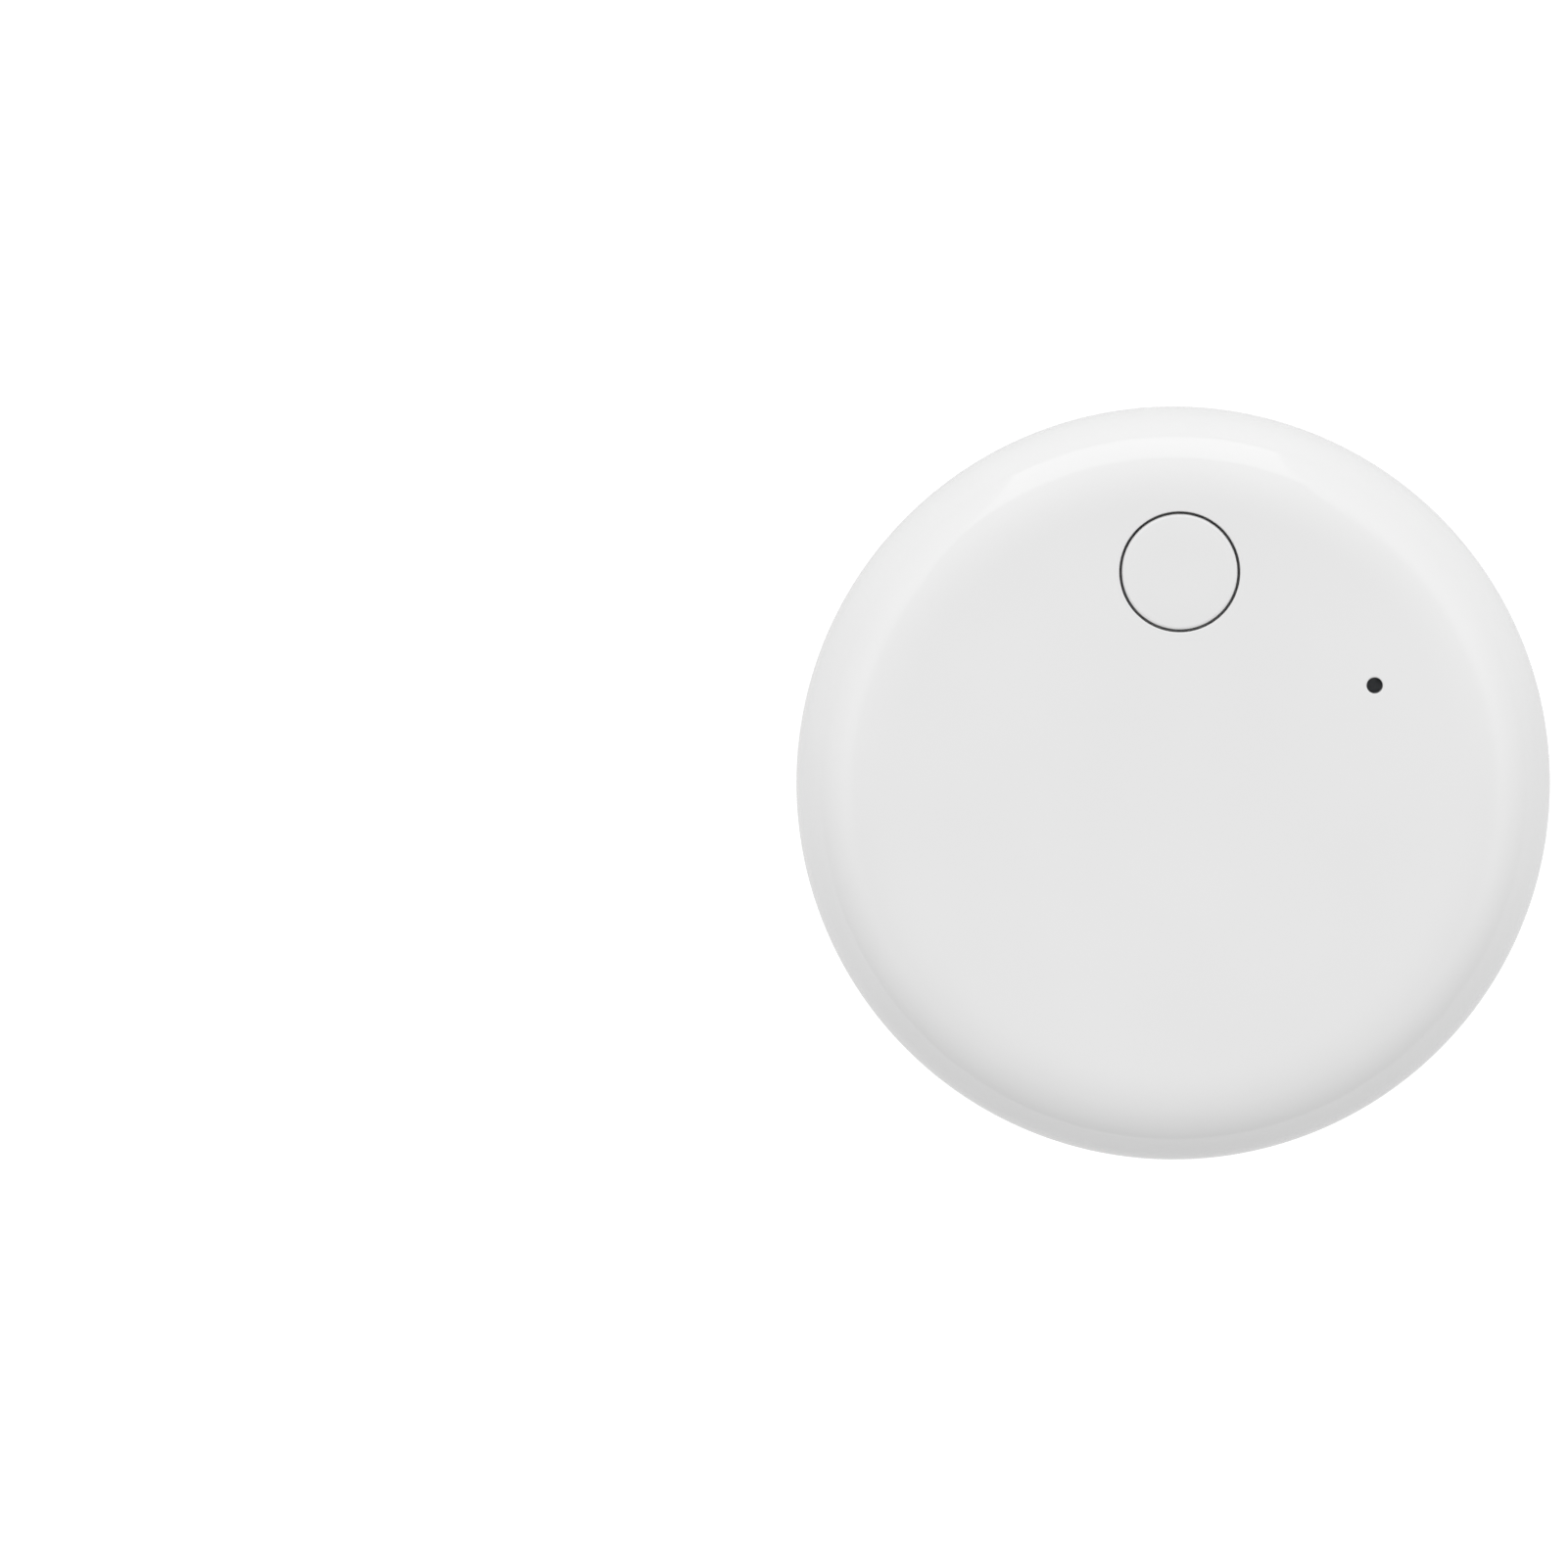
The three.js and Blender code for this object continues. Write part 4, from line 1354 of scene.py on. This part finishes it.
@dataclass
class SoftenedParts:
    """Parts whose CAD shape is right and only gets rounded edges, plated ends and a finish."""

    plated: tuple[str, ...] = ("bulk_capacitor", "capacitor", "resistor", "chip_antenna")

    parts: dict[str, tuple[Finish, float]] = field(default_factory=lambda: {
        "battery_tray": (MATT_ABS, 0.08),
        "negative_contact": (SPRING_BRONZE, 0.03),
        "positive_contact_1": (SPRING_BRONZE, 0.03),
        "positive_contact_2": (SPRING_BRONZE, 0.03),
        "case_screw_1": (SCREW_STEEL, 0.03),
        "case_screw_2": (SCREW_STEEL, 0.03),
        "case_screw_3": (SCREW_STEEL, 0.03),
        "sounder_glue_ring": (GLUE, 0.02),
        "sounder_plate": (ROLLED_BRASS, 0.02),
        "sounder_ceramic": (SILVERED, 0.03),
        "sound_hole_mesh": (CLOTH, 0.03),
        "sounder_lead_red": (RED_PVC, 0.02),
        "sounder_lead_black": (BLACK_PVC, 0.02),
        "bluetooth_chip": (EPOXY, 0.05),
        "main_crystal": (CRYSTAL_LID, 0.05),
        "clock_crystal": (CRYSTAL_LID, 0.05),
        "chip_antenna": (ANTENNA_CERAMIC, 0.05),
        "boost_inductor": (EPOXY, 0.05),
        "sounder_driver": (EPOXY, 0.05),
        "bulk_capacitor_1": (CAPACITOR_BODY, 0.04),
        "bulk_capacitor_2": (CAPACITOR_BODY, 0.04),
        **{f"capacitor_{number}": (CAPACITOR_BODY, 0.02) for number in range(1, 6)},
        **{f"resistor_{number}": (EPOXY, 0.02) for number in range(1, 4)},
    })

    def build(self) -> list[bpy.types.Object]:
        """Builds a softened copy of each part, and plated ends where a part has them.

        Returns:
            The finished pieces.
        """
        pieces = []
        for node, (finish, edge) in self.parts.items():
            plated = node.startswith(self.plated)
            copy = two_ended(node, edge) if plated else softened(node, edge)
            copy.name = f"{node}_fine"
            pieces.append(finished(copy, finish, "case", [node]))
        return pieces


# ---- Studio ----


@dataclass(frozen=True)
class Panel:
    """A panel of even light on the far side, between two directions across and two up."""

    across: Point
    up: Point
    light: float


@dataclass
class Studio:
    """A pale light table, white walls with two soft boxes on the far side, and the camera."""

    table_mm: float = 4000.0
    table_drop: float = 0.02
    table_color: str = "#8A8A8A"
    table_roughness: float = 0.6
    wall_color: str = "#F4F4F4"
    sensor_mm: float = 36.0
    lens_mm: float = 800.0
    clip: Point = (0.01, 10.0)
    view_mm: float = 66.57
    centre_mm: Point = (16.52, 0.05)
    tilt: float = 4.0
    roll: float = 1.44
    near_to_far: Point = (-1.0, 0.2)
    sky_peak: float = 1.6
    near_sky: tuple[Point, ...] = ((0, 0.1), (0.1, 0.19), (0.5, 0.55), (0.74, 0.53), (1, 0.84))
    far_sky: tuple[Point, ...] = ((0, 0.8), (0.3, 1.09), (0.5, 1.25), (0.68, 1.58), (0.78, 1.54),
                                  (0.86, 0.96), (1, 0.73))
    panels: tuple[Panel, ...] = (Panel((-0.5, 0.3), (0.12, 0.7), 1.85),
                                 Panel((-0.5, 0.3), (0.7, 0.87), 0.95))
    table_light: float = 0.56
    table_glow: float = 0.85

    def _table(self) -> None:
        """Adds the light table: pale acrylic that glows, and clears when seen from below."""
        made = bmesh.new()
        bmesh.ops.create_grid(made, x_segments=1, y_segments=1, size=self.table_mm / 2)
        table = as_object(moved(made, (0, 0, -self.table_drop)), "light_table")
        table.data.transform(Matrix.Scale(MM, 4))
        acrylic = bpy.data.materials.new("pale_acrylic")
        acrylic.use_nodes = True
        acrylic.cycles.emission_sampling = "NONE"
        tree = acrylic.node_tree
        tree.nodes.clear()
        seen = add_node(tree, "ShaderNodeLightPath").outputs["Is Camera Ray"]
        glow = add_node(tree, "ShaderNodeMapRange", {
            "Value": seen, "To Min": self.table_light, "To Max": self.table_glow})
        top = add_node(tree, "ShaderNodeBsdfPrincipled", {
            "Base Color": linear(self.table_color), "Roughness": self.table_roughness,
            "Emission Color": (1, 1, 1, 1), "Emission Strength": glow.outputs["Result"]})
        clear = add_node(tree, "ShaderNodeBsdfTransparent")
        side = add_node(tree, "ShaderNodeNewGeometry")
        both = add_node(tree, "ShaderNodeMixShader", {
            0: side.outputs["Backfacing"], 1: top.outputs["BSDF"], 2: clear.outputs["BSDF"]})
        add_node(tree, "ShaderNodeOutputMaterial", {"Surface": both.outputs["Shader"]})
        table.data.materials.append(acrylic)

    def _profile(self, tree: bpy.types.NodeTree, level: bpy.types.NodeSocket,
                 stops: Sequence[Point]) -> bpy.types.NodeSocket:
        """Turns a level above the horizon into light.

        Args:
            tree: The sky's node tree.
            level: Sine of the height above the horizon.
            stops: Pairs of level and light, from the horizon up.

        Returns:
            The light, as a share of the brightest stop of the sky.
        """
        ramp = add_node(tree, "ShaderNodeValToRGB", {"Fac": level})
        elements = ramp.color_ramp.elements
        for place, _ in stops[1:-1]:
            elements.new(place)
        for element, (_, light) in zip(elements, stops):
            element.color = (*(light / self.sky_peak,) * 3, 1)
        return ramp.outputs["Color"]

    def _panel(self, tree: bpy.types.NodeTree, direction: bpy.types.Node,
               behind: bpy.types.NodeSocket, panel: Panel) -> bpy.types.NodeSocket:
        """Lays one panel over the light of what is behind it.

        Args:
            tree: The sky's node tree.
            direction: Node that splits the direction in X, Y and Z.
            behind: Light behind the panel.
            panel: The panel.

        Returns:
            The light with the panel in it.
        """
        spans = {"X": panel.across, "Y": (0.0, 1.0), "Z": panel.up}
        inside = [add_node(tree, "ShaderNodeMath", {
            0: direction.outputs[axis], 1: (low + high) / 2, 2: (high - low) / 2},
            operation="COMPARE").outputs["Value"] for axis, (low, high) in spans.items()]
        pair = add_node(tree, "ShaderNodeMath", {0: inside[0], 1: inside[1]}, operation="MULTIPLY")
        whole = add_node(tree, "ShaderNodeMath", {0: pair.outputs["Value"], 1: inside[2]},
                         operation="MULTIPLY")
        light = (*(panel.light / self.sky_peak,) * 3, 1)
        return add_node(tree, "ShaderNodeMix", {
            0: whole.outputs["Value"], 6: behind, 7: light}, data_type="RGBA").outputs[2]

    def _sky(self) -> None:
        """Adds light from all round: white walls with a bright band high up, dim on the near side."""
        world = bpy.data.worlds.new("soft_studio")
        bpy.context.scene.world = world
        world.use_nodes = True
        tree = world.node_tree
        tree.nodes.clear()
        direction = add_node(tree, "ShaderNodeTexCoord").outputs["Generated"]
        split = add_node(tree, "ShaderNodeSeparateXYZ", {0: direction})
        away = add_node(tree, "ShaderNodeMapRange", {
            "Value": split.outputs["Y"], "From Min": self.near_to_far[0],
            "From Max": self.near_to_far[1]}, interpolation_type="SMOOTHSTEP")
        walls = [self._profile(tree, split.outputs["Z"], stops)
                 for stops in (self.near_sky, self.far_sky)]
        whole = add_node(tree, "ShaderNodeMix", {
            0: away.outputs["Result"], 6: walls[0], 7: walls[1]}, data_type="RGBA")
        lit = whole.outputs[2]
        for panel in self.panels:
            lit = self._panel(tree, split, lit, panel)
        light = add_node(tree, "ShaderNodeBackground", {"Color": lit, "Strength": self.sky_peak})
        seen = add_node(tree, "ShaderNodeBackground", {"Color": linear(self.wall_color)})
        path = add_node(tree, "ShaderNodeLightPath")
        both = add_node(tree, "ShaderNodeMixShader", {
            0: path.outputs["Is Camera Ray"], 1: light.outputs[0], 2: seen.outputs[0]})
        add_node(tree, "ShaderNodeOutputWorld", {"Surface": both.outputs["Shader"]})

    def _camera(self) -> None:
        """Adds the camera, almost straight above the tag and a little to its button side."""
        lens = bpy.data.cameras.new("camera")
        lens.sensor_width = self.sensor_mm
        lens.lens = self.lens_mm
        camera = bpy.data.objects.new("camera", lens)
        bpy.context.scene.collection.objects.link(camera)
        tilt = math.radians(self.tilt)
        back = Vector((0, math.sin(tilt), math.cos(tilt)))
        up = Vector((0, math.cos(tilt), -math.sin(tilt)))
        right = up.cross(back)
        roll = Matrix.Rotation(math.radians(self.roll), 3, back)
        right, up = roll @ right, roll @ up
        distance = self.lens_mm / self.sensor_mm * self.view_mm
        place = Vector((0, 0, OUTLINE.rim)) + back * distance
        place -= right * self.centre_mm[0] + up * self.centre_mm[1]
        axes = Matrix((right, up, back)).transposed().to_4x4()
        camera.matrix_world = Matrix.Translation(place * MM) @ axes
        lens.clip_start, lens.clip_end = self.clip
        bpy.context.scene.camera = camera

    def build(self) -> None:
        """Builds the whole studio."""
        self._table()
        self._sky()
        self._camera()
        bpy.context.scene.view_settings.view_transform = "Standard"


def main() -> None:
    """Builds the tag and its studio."""
    logging.basicConfig(level=logging.INFO, format="%(name)s: %(message)s")
    Studio().build()
    for assembly in (CaseShells(), BatteryCover(), CoinCell(), Button(), Board(), SoftenedParts()):
        pieces = assembly.build()
        LOG.info("%s: %d pieces", type(assembly).__name__, len(pieces))


if __name__ == "__main__":
    main()
